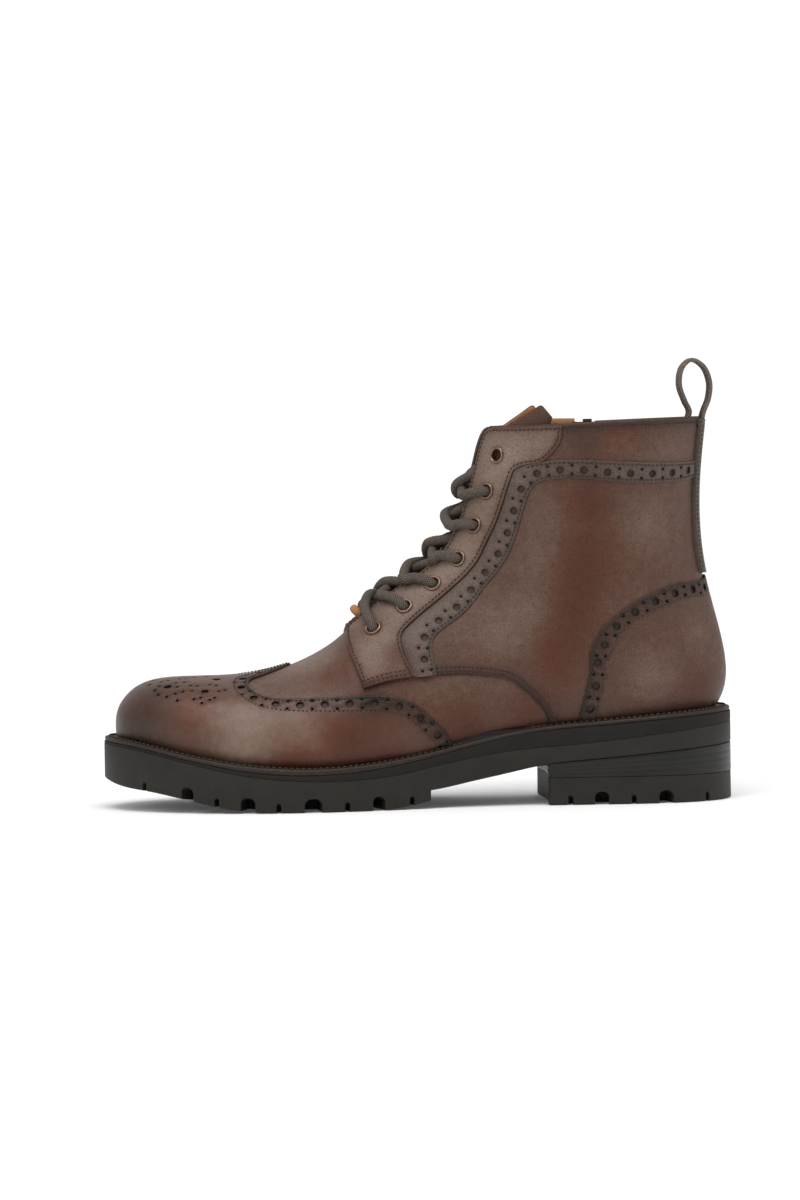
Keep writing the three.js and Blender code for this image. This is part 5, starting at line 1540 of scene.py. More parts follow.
def build_heel(loop):
    top = lambda x: web_bottom(np.maximum(x, HEEL_BREAST)) - 0.05
    low = LIFT_TOP + 0.05
    rings = [(0.4, top), (0.12, lambda x: top(x) - 0.15)]
    levels = 4
    for k in range(levels):
        share_a = (k + 0.14) / levels
        share_b = (k + 0.86) / levels
        for share, move in ((share_a, 0.05), (share_b, 0.05), (share_b + 0.05, 0.2),
                            (share_b + 0.09, 0.2)):
            if share < 1:
                rings.append((move, lambda x, s=share: top(x) - 0.4 - (top(x) - 0.8 - low) * s))
    rings += [(0.12, lambda x: low + 0.12 + 0 * x), (0.4, lambda x: low + 0 * x)]
    add_mesh("heel-stack-layers", layered(loop, rings), "stack", ["heel_stack"])
    front, depths, reaches = with_notches(loop, HEEL_BREAST, 400)
    add_mesh("heel-lift-lugs", lift_solid(front, depths, reaches), "rubber", ["heel_lift"])


def lift_solid(loop, depths, reaches):
    """The heel lift: a slab whose lower edge is notched."""
    inward = loop_normals(loop)
    for _ in range(5):
        inward = (np.roll(inward, 1, 0) + inward + np.roll(inward, -1, 0)) / 3
    inward = unit(inward)
    reach = np.where(depths > 0, reaches, 7.0)
    edge = 0.7
    rings = [
        (0.5, LIFT_TOP),
        (0.22, LIFT_TOP - 0.15),
        (0.1, depths + edge),
        (0.3, depths + edge * 0.3),
        (0.8, depths),
        (reach - 0.4, depths),
        (reach, 0.0),
    ]
    return stacked([ledge(loop, inward, *ring) for ring in rings])


def build_insole():
    rows = np.linspace(TOE_ROW + 0.3, HEEL_ROW, 120)
    lines = []
    for side in (LATERAL, MEDIAL):
        share = foot_share(rows, side)
        lines.append(off_last(rows, side * share * 0.9999, -2.2))
    ring = np.vstack([lines[0], lines[1][::-1]])
    keep = [0]
    for i in range(1, len(ring)):
        if np.linalg.norm(ring[i, :2] - ring[keep[-1], :2]) > 0.8:
            keep.append(i)
    loop = ring[keep][:, :2]
    if np.linalg.norm(loop[0] - loop[-1]) < 0.8:
        loop = loop[:-1]
    rings = [(0.7, lambda x: welt_top(x) + 3.0), (0.0, lambda x: welt_top(x) + 2.6),
             (0.0, lambda x: welt_top(x) + 0.4)]
    if _shoelace(loop) < 0:
        loop = loop[::-1]
    add_mesh("insole-board", layered(loop, rings), "lining", ["insole"], worn_and_shaded=PLAIN_WEAR)


# Trim

def build_binding():
    """The turned edge that closes the quarters and the lining along the collar."""
    parts = []
    profile = np.array([(-1.62, -0.6), (-1.62, 0.25), (-1.3, 0.62), (-0.6, 0.85), (0.2, 0.85),
                        (0.85, 0.62), (1.18, 0.2), (1.18, -0.6)])
    front, rear = zip_edges()
    runs = [straight((COLLAR, FACING[-1][1] - 0.003), (COLLAR, front[0][1]), 60)[::-1],
            straight((COLLAR, -FACING[-1][1]), (COLLAR, -1.0), 90)]
    runs[1] = np.vstack([runs[1], straight((COLLAR, -1.0), (COLLAR, rear[0][1] - 2), 60)[1:]])
    for run in runs:
        path = even(run, 1.2)
        base = on_surface(path)
        outward = last_normal(path[:, 0], path[:, 1])
        backward, _ = slopes(path[:, 0], path[:, 1])
        tangent = unit(np.gradient(base, axis=0))
        up = np.cross(outward, tangent)
        up *= np.sign((up * backward).sum(-1))[:, None]
        parts.append(sweep(base, outward, up, profile))
    add_mesh("collar-binding", joined(parts), "calf", worn_and_shaded=0.55)


LIP_HALF = (0.6, 1.9)


def build_lining_lip():
    """The rolled edge of the lining that stands over the collar between tongue and zip."""
    front, _ = zip_edges()
    path = even(straight((COLLAR + 0.16, 0.33), (COLLAR + 0.03, front[0][1] - 0.006), 40), 1.5)
    base = on_surface(path, -1.9)
    tangent = unit(np.gradient(base, axis=0))
    outward = last_normal(np.full(len(path), COLLAR - 0.1), path[:, 1])
    up = np.cross(tangent, outward)
    rolled = sweep(base, outward, up, round_section(12, LIP_HALF))
    add_mesh("lining-lip", rolled, "lining", worn_and_shaded=0.0)


LOOP_LINE = [(130.9, 172.0), (131.4, 180.0), (134.8, 188.2), (132.6, 193.6), (130.1, 201.6),
             (131.6, 210.0), (136.2, 213.6), (141.8, 210.4), (144.9, 202.4), (144.2, 194.6),
             (142.0, 189.0), (141.0, 185.6)]


def thread_uv(piece, values):
    """Gives a piece the lengthwise and crosswise measure that its weave follows."""
    layer = piece.data.uv_layers.new(name="threads")
    loops = np.zeros(len(piece.data.loops), np.int32)
    piece.data.loops.foreach_get("vertex_index", loops)
    layer.data.foreach_set("uv", np.asarray(values, np.float32)[loops].ravel())


def build_pull_loop():
    line = smooth_line([(x, 0.0, z) for x, z in LOOP_LINE] + [(139.6, 0.0, 176.0)], 10)
    centres = along(line, 0.9)
    tangent = unit(np.gradient(centres, axis=0))
    side = (0.0, 1.0, 0.0)
    up = np.cross(tangent, side)
    half, thick = size("loop_width") / 2, size("loop_thickness") / 2
    across = np.linspace(-half, half, 15)
    top = [(y, thick * (1 - 0.25 * abs(y / half) ** 6)) for y in across]
    bottom = [(y, -thick * (1 - 0.25 * abs(y / half) ** 6)) for y in across[::-1]]
    profile = np.array(top + [(half + 0.3, 0)] + bottom + [(-half - 0.3, 0)])
    piece = add_mesh("pull-loop-webbing", sweep(centres, side, up, profile), "webbing",
                     ["pull_loop"], smooth=60)
    run = np.arange(len(centres)) * 0.9
    uv = np.stack([np.tile(profile[:, 0], len(centres)), np.repeat(run, len(profile))], 1)
    thread_uv(piece, uv)


EYELET_PROFILE = [(2.75, -3.0), (3.05, -3.0), (3.05, -0.1), (3.9, -0.1), (4.05, 0.15),
                  (3.95, 0.5), (3.6, 0.75), (3.2, 0.7), (2.9, 0.4), (2.75, 0.0)]


def ring_at(centre, out, profile, sides=32):
    """A lathed ring about an axis."""
    out = unit(np.asarray(out))
    e1 = np.cross(out, (0.0, 1.0, 0.0))
    if np.linalg.norm(e1) < 0.1:
        e1 = np.cross(out, (1.0, 0.0, 0.0))
    e1 = unit(e1)
    e2 = np.cross(out, e1)
    spokes = round_section(sides) @ [e1, e2]
    centres = np.repeat([centre], sides, 0)
    verts, faces = sweep(centres, spokes, out, profile, closed=True)
    return verts, [f[::-1] for f in faces]


def build_eyelets():
    for side, label in ((LATERAL, "lateral"), (MEDIAL, "medial")):
        for index, (row, share) in enumerate(EYELETS):
            out = last_normal(row, side * share)
            base = off_last(row, side * share, OVERLAY_TOP + 0.12)
            add_mesh(f"eyelet-{label}-{index + 1}", ring_at(base, out, EYELET_PROFILE), "bronze",
                     [f"eyelet_{label}_{index + 1}"], smooth=60)


LACE_UNDER = -2.3

# One strand of a crossing: how far up toward the next eyelet at the first crossing and at the
# later ones, how far across and by which measure, the height over the last and the flattening
STRAND = [
    (0.0, 0.0, 1.0, "eyelet", -2.3, 0.42),
    (0.0, 0.0, 1.0, "eyelet", 0.6, 0.95),
    (0.0, -0.06, 0.90, "eyelet", 3.7, 1.0),
    (-0.01, -0.24, 0.70, "eyelet", 4.9, 1.0),
    (0.03, -0.38, 1.08, "throat", 4.9, 1.0),
    (0.30, -0.10, 0.0, "throat", 2.4, 1.0),
    (0.58, 0.36, -0.82, "throat", 0.5, 0.95),
    (0.80, 0.68, -1.30, "throat", -1.6, 0.5),
]


def facing_share(row):
    table = np.array(FACING)
    return float(np.interp(row, table[:, 0], table[:, 1]))


def lace_strand(index, side, over):
    """Stations of one strand: centre, outward direction and how far it is flattened."""
    row, share = EYELETS[index]
    rise = EYELETS[index + 1][0] - row
    half = facing_share(row + rise)
    stops = []
    for k, (first_up, later_up, across, measure, height, flat) in enumerate(STRAND):
        up = later_up if index else first_up
        s = across * (share if measure == "eyelet" else half)
        lift = (1.9 if over else -1.7) if k == 5 else (0.4 if over and k == 4 else 0.0)
        stops.append((row + rise * up, side * s, height + lift, flat))
    next_row, next_share = EYELETS[index + 1]
    stops.append((next_row - 0.1 * rise, -side * next_share * 0.9, LACE_UNDER, 0.42))
    stops.append((next_row, -side * next_share, LACE_UNDER, 0.42))
    points = np.array([[*off_last(r, s, h), f] for r, s, h, f in stops])
    outs = np.array([last_normal(r, s) for r, s, _, _ in stops])
    return points, outs


def build_laces():
    for index in range(len(EYELETS) - 1):
        parts, uvs = [], []
        for side in (LATERAL, MEDIAL):
            over = (side == LATERAL) == (index % 2 == 0)
            points, outs = lace_strand(index, side, over)
            line = smooth_line(np.column_stack([points, outs]), 16)
            line = along(line, 0.5)
            centres, flat, out = line[:, :3], line[:, 3], line[:, 4:]
            tangent = unit(np.gradient(centres, axis=0))
            across = unit(np.cross(tangent, out))
            up = np.cross(across, tangent)
            turn = np.linspace(0, 2 * math.pi, 24, endpoint=False)
            run = run_of(centres)
            braid = np.abs(np.sin(4 * turn[None] + run[:, None] * 1.25)
                           * np.sin(4 * turn[None] - run[:, None] * 1.25))
            radius = size("lace") / 2 * (0.955 + 0.075 * braid)
            sections = np.stack([radius * np.cos(turn) * (2 - flat[:, None]) ** 0.5,
                                 radius * np.sin(turn) * flat[:, None]], -1)
            parts.append(sweep(centres, across, up, sections))
            uvs.append(np.stack([np.tile(turn, len(centres)), np.repeat(run, 24)], 1))
        piece = add_mesh(f"lace-crossing-{index + 1}", joined(parts), "lace",
                         [f"lace_cross_{index + 1}"], smooth=0)
        thread_uv(piece, np.vstack(uvs))


def build_stitching():
    """All the sewn seams of the upper."""
    for side, label in ((LATERAL, "lateral"), (MEDIAL, "medial")):
        facing, rear, lower, front, band, band_top, counter, wing = (
            signed(edge, side) for edge in (FACING, EYESTAY_REAR, QUARTER_LOWER, QUARTER_FRONT,
                                            BAND_REAR, BAND_TOP_EDGE, COUNTER_EDGE, WING))
        collar = straight((COLLAR, side * FACING[-1][1]), (COLLAR, side * EYESTAY_REAR[0][1]))
        split = np.searchsorted(lower[:, 0], 14.1)
        back = straight((23.8, side * BACKSTAY_SHARE), (COLLAR - 0.1, side * BACKSTAY_SHARE), 40)
        top = straight((COLLAR, side * 0.47), (COLLAR, side * 0.98), 50)
        seams = [
            (np.vstack([facing, collar[1:]]), 1.7, OVERLAY_TOP),
            (rear, 1.5, OVERLAY_TOP),
            (front, -1.6, OVERLAY_TOP),
            (lower[:split], -1.5, OVERLAY_TOP),
            (lower[split:], -1.5, QUARTER_TOP),
            (lower[:split], -3.4, OVERLAY_TOP),
            (lower[split:], -3.4, QUARTER_TOP),
            (band, 1.3, BAND_TOP),
            (band_top, 1.3, BAND_TOP),
            (counter[:-6], 1.5, OVERLAY_TOP),
            (counter[:-6], 7.4, OVERLAY_TOP),
            (wing, 1.5, CAP_TOP),
            (wing, 7.3, CAP_TOP),
            (back, 1.2, STRIP_TOP),
            (top, 1.9, QUARTER_TOP),
        ]
        parts = []
        for path, distance, height in seams:
            sewn = seam_stitches(path, distance * side, height)
            crosses = path is band or path is band_top or path is top
            parts += zip_gap(sewn, side) if crosses else sewn
        parts += tack_stitches(side)
        if side == MEDIAL:
            for line, way in zip(zip_edges(), (1, -1)):
                parts += seam_stitches(line[1:], 1.6 * way, QUARTER_TOP)
        add_mesh(f"stitching-{label}", joined(parts), "thread", smooth=0)


def off_zip(point):
    return abs(point[0] - ZIP_X) > ZIP_SLOT / 2 + 1 or point[2] < ZIP_BOTTOM


def zip_gap(parts, side):
    """The stitches that don't cross the zip's slot."""
    return [part for part in parts if side == LATERAL or off_zip(part[0].mean(0))]


TACK = [(12.52, 0.333), (13.35, 0.352)]
TACK_TURNS = 11


def tack_stitches(side):
    """The short zigzag that holds the front of the eyestay."""
    line = smooth_line(TACK, TACK_TURNS) * (1, side)
    swing = np.where(np.arange(len(line)) % 2 == 0, 0.8, -0.8)
    base = on_surface(line)
    normals = last_normal(line[:, 0], line[:, 1])
    across = unit(np.cross(normals, np.gradient(base, axis=0)))
    return stitch_capsules(base + normals * OVERLAY_TOP + across * swing[:, None], normals, 0.24,
                           0.9)


WELT_STITCH_INSET = 2.7
BEAD_RADIUS = 0.75


def build_welt_trim():
    """The seam along the welt and the bead where the upper meets it."""
    loop = along(np.vstack([sole_loop(), sole_loop()[:1]]), 2.9)[:-1]
    flat = loop + loop_normals(loop) * WELT_STITCH_INSET
    points = np.column_stack([flat, welt_top(flat[:, 0]) + 0.12])
    points = np.vstack([points, points[:1]])
    ups = np.repeat([[0.0, 0.0, 1.0]], len(points), 0)
    add_mesh("welt-stitches", joined(stitch_capsules(points, ups, 0.55, 0.86)), "welt thread",
             smooth=0)
    rows = np.linspace(TOE_ROW + 0.02, HEEL_ROW - 0.02, 260)
    lines = [off_last(rows, side * foot_share(rows, side) * 0.998, 1.1)
             for side in (LATERAL, MEDIAL)]
    ring = np.vstack([lines[0], lines[1][::-1]])
    ring = along(np.vstack([ring, ring[:1]]), 1.6)[:-1]
    ring[:, 2] = welt_top(ring[:, 0]) + BEAD_RADIUS * 0.5
    for _ in range(2):
        ring = (np.roll(ring, 1, 0) + 2 * ring + np.roll(ring, -1, 0)) / 4
    tangent = unit(np.roll(ring, -1, 0) - np.roll(ring, 1, 0))
    up = (0.0, 0.0, 1.0)
    bead = sweep(ring, np.cross(tangent, up), up, round_section(10, BEAD_RADIUS), closed=True)
    add_mesh("feather-bead", bead, "bead", worn_and_shaded=PLAIN_WEAR)


TAB_PLACE = (13.0, 0.0)


def build_throat_tab():
    """A small folded tab of tan lining at the foot of the lacing."""
    centre = off_last(*TAB_PLACE, 3.4)
    out = last_normal(*TAB_PLACE)
    backward, _ = slopes(*(np.array([v]) for v in TAB_PLACE))
    forward = -unit(backward[0])
    circle = round_section(20)
    profile = np.sign(circle) * np.abs(circle) ** (0.7, 0.8) * (2.2, 3.2)
    across = np.linspace(-6.5, 6.5, 14)
    centres = centre + across[:, None] * (0, 1.0, 0) - out * (across[:, None] / 6.5) ** 2 * 1.6
    grow = (1 - (np.abs(across) / 6.6) ** 6) ** 0.5
    sections = profile[None] * grow[:, None, None]
    folded = sweep(centres, forward, out, sections)
    add_mesh("throat-tab", folded, "lining", worn_and_shaded=0.0)


# The zip

ZIP_TAPE = 17.8
ZIP_TAPE_FOOT = 91.4
ZIP_TOP = 182.2
TOOTH_PITCH = 1.5
SHAFT_RADIUS = 36.0
PIN = np.array([88.0, 41.5, 173.0])


def zip_stations(low, high, step):
    """Points up the middle of the zip with the directions across and outward."""
    heights = np.linspace(low, high, max(2, int(round((high - low) / step)) + 1))
    places = np.array([locate_inner(ZIP_X, z) for z in heights])
    base = on_surface(places)
    out = last_normal(places[:, 0], places[:, 1])
    up = unit(np.gradient(base, axis=0))
    across = np.cross(up, out)
    return base, across, out, up


def block(centre, across, up, out, size, bevel=0.25):
    """A box with chamfered front edges, given by its own directions and sizes."""
    w, h, d = np.asarray(size) / 2
    outline = [(-w, -h), (w, -h), (w, h), (-w, h)]
    rings = []
    for depth, shrink in ((-d, 0), (d - bevel, 0), (d, bevel)):
        for u, v in outline:
            rings.append(centre + across * (u - math.copysign(shrink, u))
                         + up * (v - math.copysign(shrink, v)) + out * depth)
    faces = []
    for k in (0, 4):
        faces += ring_faces(k, k + 4, 4)
    return np.array(rings), faces + [(3, 2, 1, 0), (8, 9, 10, 11)]


def build_zip():
    base, across, out, up = zip_stations(ZIP_TAPE_FOOT, ZIP_TOP, 2.2)
    half = ZIP_TAPE / 2
    widths = np.linspace(-half, half, 15)
    sag = -widths**2 / (2 * SHAFT_RADIUS)
    profile = np.array(list(zip(widths, sag - 2.5)) + list(zip(widths[::-1], sag[::-1] - 3.45)))
    tape = add_mesh("zip-tape-weave", sweep(base, across, out, profile), "tape",
                    ["zip_tape"], smooth=60)
    run = np.linspace(0, ZIP_TOP - ZIP_TAPE_FOOT, len(base))
    thread_uv(tape, np.stack([np.tile(profile[:, 0], len(base)), np.repeat(run, len(profile))], 1))
    base, across, out, up = zip_stations(ZIP_BOTTOM + 1.2, ZIP_TOP - 1.4, TOOTH_PITCH / 2)
    parts = []
    for index, (p, a, o, u) in enumerate(zip(base, across, out, up)):
        way = 1 if index % 2 else -1
        parts.append(block(p - o * 1.35 + a * way * 1.0, a, u, o, (3.0, 0.95, 1.9)))
    parts.append(block(base[0] - out[0] * 1.2 - up[0] * 0.6, across[0], up[0], out[0],
                       (5.2, 2.6, 2.0)))
    add_mesh("zip-teeth", joined(parts), "bronze", ["zip_chain"], smooth=30)
    build_slider()


def rounded_plate(centre, across, up, out, outline, thick, bevel=0.45):
    """A plate of an outline with rounded edges."""
    outline = np.asarray(outline, float)
    tangent = unit(np.roll(outline, -1, 0) - np.roll(outline, 1, 0))
    inward = np.stack([-tangent[:, 1], tangent[:, 0]], 1)
    verts = []
    half = thick / 2
    for depth, shrink in ((-half, bevel), (-half + bevel * 0.3, bevel * 0.3),
                          (-half + bevel, 0), (half - bevel, 0),
                          (half - bevel * 0.3, bevel * 0.3), (half, bevel)):
        flat = outline + inward * shrink
        verts.append(centre + flat[:, :1] * across + flat[:, 1:] * up + depth * out)
    count = len(outline)
    faces = [face for k in range(5) for face in ring_faces(k * count, (k + 1) * count, count)]
    faces += [tuple(range(count))[::-1], tuple(range(5 * count, 6 * count))]
    return np.vstack(verts), faces


def build_slider():
    across, up, out = np.eye(3)[0], np.eye(3)[2], np.eye(3)[1]
    centre = np.array([ZIP_X, 37.6, 172.0])
    circle = round_section(36)
    body = np.sign(circle) * np.abs(circle) ** 0.55 * (4.2, 6.0)
    body[:, 0] *= 0.86 + 0.14 * ease((body[:, 1] + 6) / 12)
    parts = [rounded_plate(centre, across, up, out, body, 2.4, 0.6)]
    for x in (-2.6, 2.6):
        parts.append(rounded_plate(PIN + (x, -1.4, 0), out, up, across, circle * (2.6, 1.9), 1.1,
                                   0.25))
    parts.append(sweep(PIN + np.array([[-3.1, 0, 0], [3.1, 0, 0]]), up, out, circle * 0.8))
    add_mesh("zip-slider-body", joined(parts), "bronze", ["zip_slider"], smooth=40)
    heights = np.array([0, 3.4, 4.6, 6.5, 9.0, 13.0, 17.5, 19.8, 21.4, 22.3, 22.6])
    halves = np.array([1.3, 1.2, 1.4, 2.1, 2.6, 2.8, 2.8, 2.6, 1.9, 1.0, 0.3])
    right = np.stack([halves, -heights], 1)
    outline = np.vstack([right[::-1], right * (-1, 1)])
    outline = along(np.column_stack([np.vstack([outline, outline[:1]]),
                                     np.zeros(len(outline) + 1)]), 0.7)[:-1, :2]
    if _shoelace(outline) < 0:
        outline = outline[::-1]
    parts = [rounded_plate(PIN, across, up, out, outline, 1.5, 0.35)]
    parts.append(rounded_plate(PIN, out, up, across, circle * 2.15, 3.0, 0.35))
    add_mesh("zip-pull-tab", joined(parts), "bronze", ["zip_pull"], body="pull_tab",
             smooth=40)
    folds = [block(np.array([ZIP_X, 34.6, 182.6]), across, up, out, (15.0, 3.0, 1.8), 0.5),
             block(np.array([ZIP_X, 35.0, 184.4]), across, up, out, (4.4, 2.2, 2.6), 0.8)]
    add_mesh("zip-top-fold", joined(folds), "calf", smooth=40, worn_and_shaded=0.3)


# Softboxes: name, place, target, size in metres and power
LIGHTS = [
    ("front softbox", (-1.0, -1.5, 1.0), (0.0, 0.0, 0.08), 1.0, 9.0),
    ("heel side softbox", (1.6, -0.35, 0.7), (0.0, 0.0, 0.09), 0.9, 4.0),
]
SKY = 1.06
SKY_LIGHT = (0.12, 0.48)
FLOOR_GLOW = 0.05

# The light from above: strength, then its spread and its tilt in degrees
OVERHEAD = (2.2, 45.0, 22.0)


def build_world():
    """White surroundings, dimmer toward the front so that the near side keeps its depth."""
    world = bpy.data.worlds.new("studio")
    bpy.context.scene.world = world
    world.use_nodes = True
    tree = world.node_tree
    white = (1, 1, 1, 1)
    seen = tree.nodes["Background"]
    feed(seen, {"Color": white, "Strength": SKY})
    way = node(tree, "ShaderNodeSeparateXYZ",
               {"Vector": node(tree, "ShaderNodeTexCoord").outputs["Generated"]}).outputs["Y"]
    share = times(plus(way, 0.95), 1.15, clamp=True)
    strength = plus(times(share, SKY_LIGHT[1]), SKY_LIGHT[0])
    light = node(tree, "ShaderNodeBackground", {"Strength": strength, "Color": white})
    camera_ray = node(tree, "ShaderNodeLightPath").outputs["Is Camera Ray"]
    mix = node(tree, "ShaderNodeMixShader", {0: camera_ray, 1: light.outputs[0], 2: seen.outputs[0]})
    feed(tree.nodes["World Output"], {"Surface": mix.outputs[0]})


def build_stage():
    bpy.context.scene.view_settings.view_transform = "Standard"
    build_world()
    mesh = bpy.data.meshes.new("floor")
    half = 6.0
    mesh.from_pydata([(-half, -half, 0), (half, -half, 0), (half, half, 0), (-half, half, 0)], [],
                     [(0, 1, 2, 3)])
    material, _, shader = start_material("pale floor", roughness=0.6, specular=0.2)
    feed(shader, {"Base Color": (0.9, 0.9, 0.9, 1), "Emission Color": (1, 1, 1, 1),
                  "Emission Strength": FLOOR_GLOW})
    mesh.materials.append(material)
    floor = put_in_scene("floor", mesh)
    floor.location.z = -0.0002
    for name, place, target, size, power in LIGHTS:
        data = bpy.data.lights.new(name, "AREA")
        data.shape = "SQUARE"
        data.size = size
        data.energy = power
        light = put_in_scene(name, data)
        light.location = place
        light.rotation_euler = (Vector(target) - Vector(place)).to_track_quat("-Z", "Y").to_euler()
    overhead = bpy.data.lights.new("overhead panel", "SUN")
    overhead.energy = OVERHEAD[0]
    overhead.angle = math.radians(OVERHEAD[1])
    put_in_scene("overhead panel", overhead).rotation_euler.x = math.radians(OVERHEAD[2])
    build_camera()


CAMERA_AZIMUTH = -3.0
CAMERA_ELEVATION = 4.5
CAMERA_ROLL = -0.9
CAMERA_DISTANCE = 2500.0
CAMERA_PIXELS_PER_MM = 2.046
PHOTO_HEIGHT = 1200
SENSOR = 36.0
BOOT_SHIFT = 0.85
AIM = (-7.8, 0.0, 98.8)


def build_camera():
    azimuth, elevation = math.radians(CAMERA_AZIMUTH), math.radians(CAMERA_ELEVATION)
    back = Vector((math.sin(azimuth) * math.cos(elevation),
                   -math.cos(azimuth) * math.cos(elevation), math.sin(elevation)))
    data = bpy.data.cameras.new("camera")
    data.sensor_width = SENSOR
    data.lens = CAMERA_PIXELS_PER_MM * CAMERA_DISTANCE / PHOTO_HEIGHT * SENSOR
    camera = put_in_scene("camera", data)
    place = (back * CAMERA_DISTANCE - Vector((BOOT_SHIFT, 0, 0))) * MM
    aim = Vector(AIM) * MM
    turn = (aim - place).to_track_quat("-Z", "Y").to_matrix().to_4x4()
    camera.matrix_world = (Matrix.Translation(place) @ turn
                           @ Matrix.Rotation(math.radians(CAMERA_ROLL), 4, "Z"))
    bpy.context.scene.camera = camera


# Settings, operators and panel

LENGTH = {"unit": "LENGTH", "subtype": "DISTANCE", "min": 0}
COLOUR = {"subtype": "COLOR", "size": 3, "min": 0, "max": 1}


class BootSizes(bpy.types.PropertyGroup):
    """Sizes of the boot's trim"""

    lace: bpy.props.FloatProperty(
        name="Lace", description="Diameter of the round lace", default=5.0 * MM, **LENGTH)
    thread: bpy.props.FloatProperty(
        name="Thread", description="Thickness of the sewing thread", default=0.66 * MM, **LENGTH)
    stitch_pitch: bpy.props.FloatProperty(
        name="Stitch", description="Length from one stitch to the next", default=2.15 * MM, **LENGTH)
    big_hole: bpy.props.FloatProperty(
        name="Large punch", description="Diameter of the large punched holes", default=3.5 * MM, **LENGTH)
    small_hole: bpy.props.FloatProperty(
        name="Small punch", description="Diameter of the small punched holes", default=1.36 * MM, **LENGTH)
    loop_width: bpy.props.FloatProperty(
        name="Loop width", description="Width of the pull loop", default=16.6 * MM, **LENGTH)
    loop_thickness: bpy.props.FloatProperty(
        name="Loop thickness", description="Thickness of the pull loop", default=1.9 * MM, **LENGTH)


class BootColours(bpy.types.PropertyGroup):
    """Colours of the boot's finishes"""

    leather: bpy.props.FloatVectorProperty(
        name="Leather", description="Main leather",
        default=(0.112, 0.056, 0.037), **COLOUR)
    warm: bpy.props.FloatVectorProperty(
        name="Warm patches", description="Redder patches of the leather",
        default=(0.112, 0.034, 0.017), **COLOUR)
    # This is also the colour that the painted shade round the punched holes darkens toward.
    burnish: bpy.props.FloatVectorProperty(
        name="Burnish", description="Dark edges and worn places",
        default=(0.011, 0.006, 0.0042), **COLOUR)
    # The pale colour is a painted highlight, used where patches and panels are shaded below zero.
    pale: bpy.props.FloatVectorProperty(
        name="Painted highlight", description="Pale places that are rubbed up",
        default=(0.27, 0.198, 0.155), **COLOUR)
    trim: bpy.props.FloatVectorProperty(
        name="Punched bands", description="Leather of the punched bands",
        default=(0.13, 0.092, 0.073), **COLOUR)
    lining: bpy.props.FloatVectorProperty(
        name="Lining", description="Tan lining leather",
        default=(0.42, 0.20, 0.085), **COLOUR)
    strip: bpy.props.FloatVectorProperty(
        name="Backstay", description="Grey-brown strip up the back",
        default=(0.125, 0.10, 0.082), **COLOUR)
    rubber: bpy.props.FloatVectorProperty(
        name="Rubber", description="Sole rubber",
        default=(0.0085, 0.0065, 0.0045), **COLOUR)


class BOOT_OT_sole(bpy.types.Operator):
    """Build the midsole, lugged outsole, heel and welt"""

    bl_idname = "boot.sole"
    bl_label = "Sole"

    def execute(self, context):
        build_sole()
        return {"FINISHED"}


class BOOT_OT_welt_trim(bpy.types.Operator):
    """Build the welt stitches and the feather bead"""

    bl_idname = "boot.welt_trim"
    bl_label = "Welt trim"

    def execute(self, context):
        build_welt_trim()
        return {"FINISHED"}


class BOOT_OT_insole(bpy.types.Operator):
    """Build the insole board"""

    bl_idname = "boot.insole"
    bl_label = "Insole"

    def execute(self, context):
        build_insole()
        return {"FINISHED"}


class BOOT_OT_lining(bpy.types.Operator):
    """Build the tan lining"""

    bl_idname = "boot.lining"
    bl_label = "Lining"

    def execute(self, context):
        build_lining()
        return {"FINISHED"}


class BOOT_OT_vamp(bpy.types.Operator):
    """Build the vamp"""

    bl_idname = "boot.vamp"
    bl_label = "Vamp"

    def execute(self, context):
        build_vamp()
        return {"FINISHED"}


class BOOT_OT_toe_cap(bpy.types.Operator):
    """Build the punched wing-tip toe cap"""

    bl_idname = "boot.toe_cap"
    bl_label = "Toe cap"

    def execute(self, context):
        build_toe_cap()
        return {"FINISHED"}


class BOOT_OT_panels(bpy.types.Operator):
    """Build the quarters, eyestays and punched bands"""

    bl_idname = "boot.panels"
    bl_label = "Panels"

    def execute(self, context):
        build_panels()
        return {"FINISHED"}


class BOOT_OT_counter(bpy.types.Operator):
    """Build the heel counter"""

    bl_idname = "boot.counter"
    bl_label = "Counter"

    def execute(self, context):
        build_counter()
        return {"FINISHED"}


class BOOT_OT_backstay(bpy.types.Operator):
    """Build the strip up the back seam"""

    bl_idname = "boot.backstay"
    bl_label = "Backstay"

    def execute(self, context):
        build_backstay()
        return {"FINISHED"}


class BOOT_OT_tongue(bpy.types.Operator):
    """Build the tongue and its lining"""

    bl_idname = "boot.tongue"
    bl_label = "Tongue"

    def execute(self, context):
        build_tongue()
        build_throat_tab()
        return {"FINISHED"}


class BOOT_OT_binding(bpy.types.Operator):
    """Build the turned edge of the collar"""

    bl_idname = "boot.binding"
    bl_label = "Binding"

    def execute(self, context):
        build_binding()
        build_lining_lip()
        return {"FINISHED"}


class BOOT_OT_pull_loop(bpy.types.Operator):
    """Build the webbing loop at the back"""

    bl_idname = "boot.pull_loop"
    bl_label = "Pull loop"

    def execute(self, context):
        build_pull_loop()
        return {"FINISHED"}


class BOOT_OT_eyelets(bpy.types.Operator):
    """Build the fourteen eyelets"""

    bl_idname = "boot.eyelets"
    bl_label = "Eyelets"

    def execute(self, context):
        build_eyelets()
        return {"FINISHED"}


class BOOT_OT_laces(bpy.types.Operator):
    """Run the lace through the eyelets"""

    bl_idname = "boot.laces"
    bl_label = "Laces"

    def execute(self, context):
        build_laces()
        return {"FINISHED"}


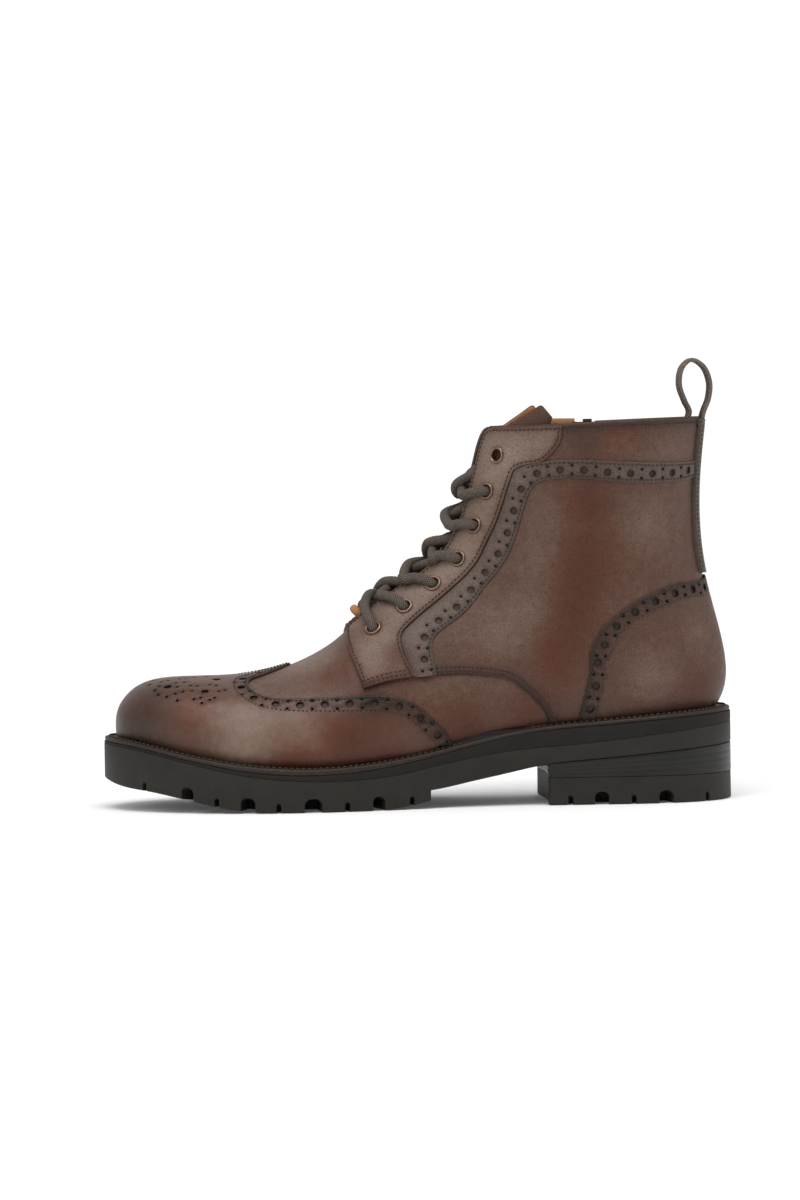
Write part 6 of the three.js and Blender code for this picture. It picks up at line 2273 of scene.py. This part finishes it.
class BOOT_OT_zip(bpy.types.Operator):
    """Build the zip with its slider and pull tab"""

    bl_idname = "boot.zip"
    bl_label = "Zip"

    def execute(self, context):
        build_zip()
        return {"FINISHED"}


class BOOT_OT_stitching(bpy.types.Operator):
    """Sew the seams of the upper"""

    bl_idname = "boot.stitching"
    bl_label = "Stitching"

    def execute(self, context):
        build_stitching()
        return {"FINISHED"}


class BOOT_OT_stage(bpy.types.Operator):
    """Set up the floor, lights and camera"""

    bl_idname = "boot.stage"
    bl_label = "Stage"

    def execute(self, context):
        build_stage()
        return {"FINISHED"}


OPERATORS = [
    BOOT_OT_sole, BOOT_OT_welt_trim, BOOT_OT_insole, BOOT_OT_lining, BOOT_OT_vamp, BOOT_OT_toe_cap,
    BOOT_OT_panels, BOOT_OT_counter, BOOT_OT_backstay, BOOT_OT_tongue, BOOT_OT_binding,
    BOOT_OT_pull_loop, BOOT_OT_eyelets, BOOT_OT_laces, BOOT_OT_zip, BOOT_OT_stitching,
    BOOT_OT_stage,
]


class BOOT_PT_panel(bpy.types.Panel):
    """Lists the boot's pieces and colours"""

    bl_idname = "BOOT_PT_panel"
    bl_label = "Boot"
    bl_space_type = "VIEW_3D"
    bl_region_type = "UI"
    bl_category = "Boot"

    def draw(self, context):
        for kind in OPERATORS:
            self.layout.operator(kind.bl_idname)
        for settings in (context.scene.boot_sizes, context.scene.boot_colours):
            for key in type(settings).__annotations__:
                self.layout.prop(settings, key)


CLASSES = [BootSizes, BootColours, *OPERATORS, BOOT_PT_panel]


def register():
    for kind in CLASSES:
        bpy.utils.register_class(kind)
    bpy.types.Scene.boot_sizes = bpy.props.PointerProperty(type=BootSizes)
    bpy.types.Scene.boot_colours = bpy.props.PointerProperty(type=BootColours)


def unregister():
    del bpy.types.Scene.boot_colours
    del bpy.types.Scene.boot_sizes
    for kind in reversed(CLASSES):
        bpy.utils.unregister_class(kind)


def main():
    register()
    for kind in OPERATORS:
        getattr(bpy.ops.boot, kind.bl_idname.split(".")[1])()


if __name__ == "__main__":
    main()
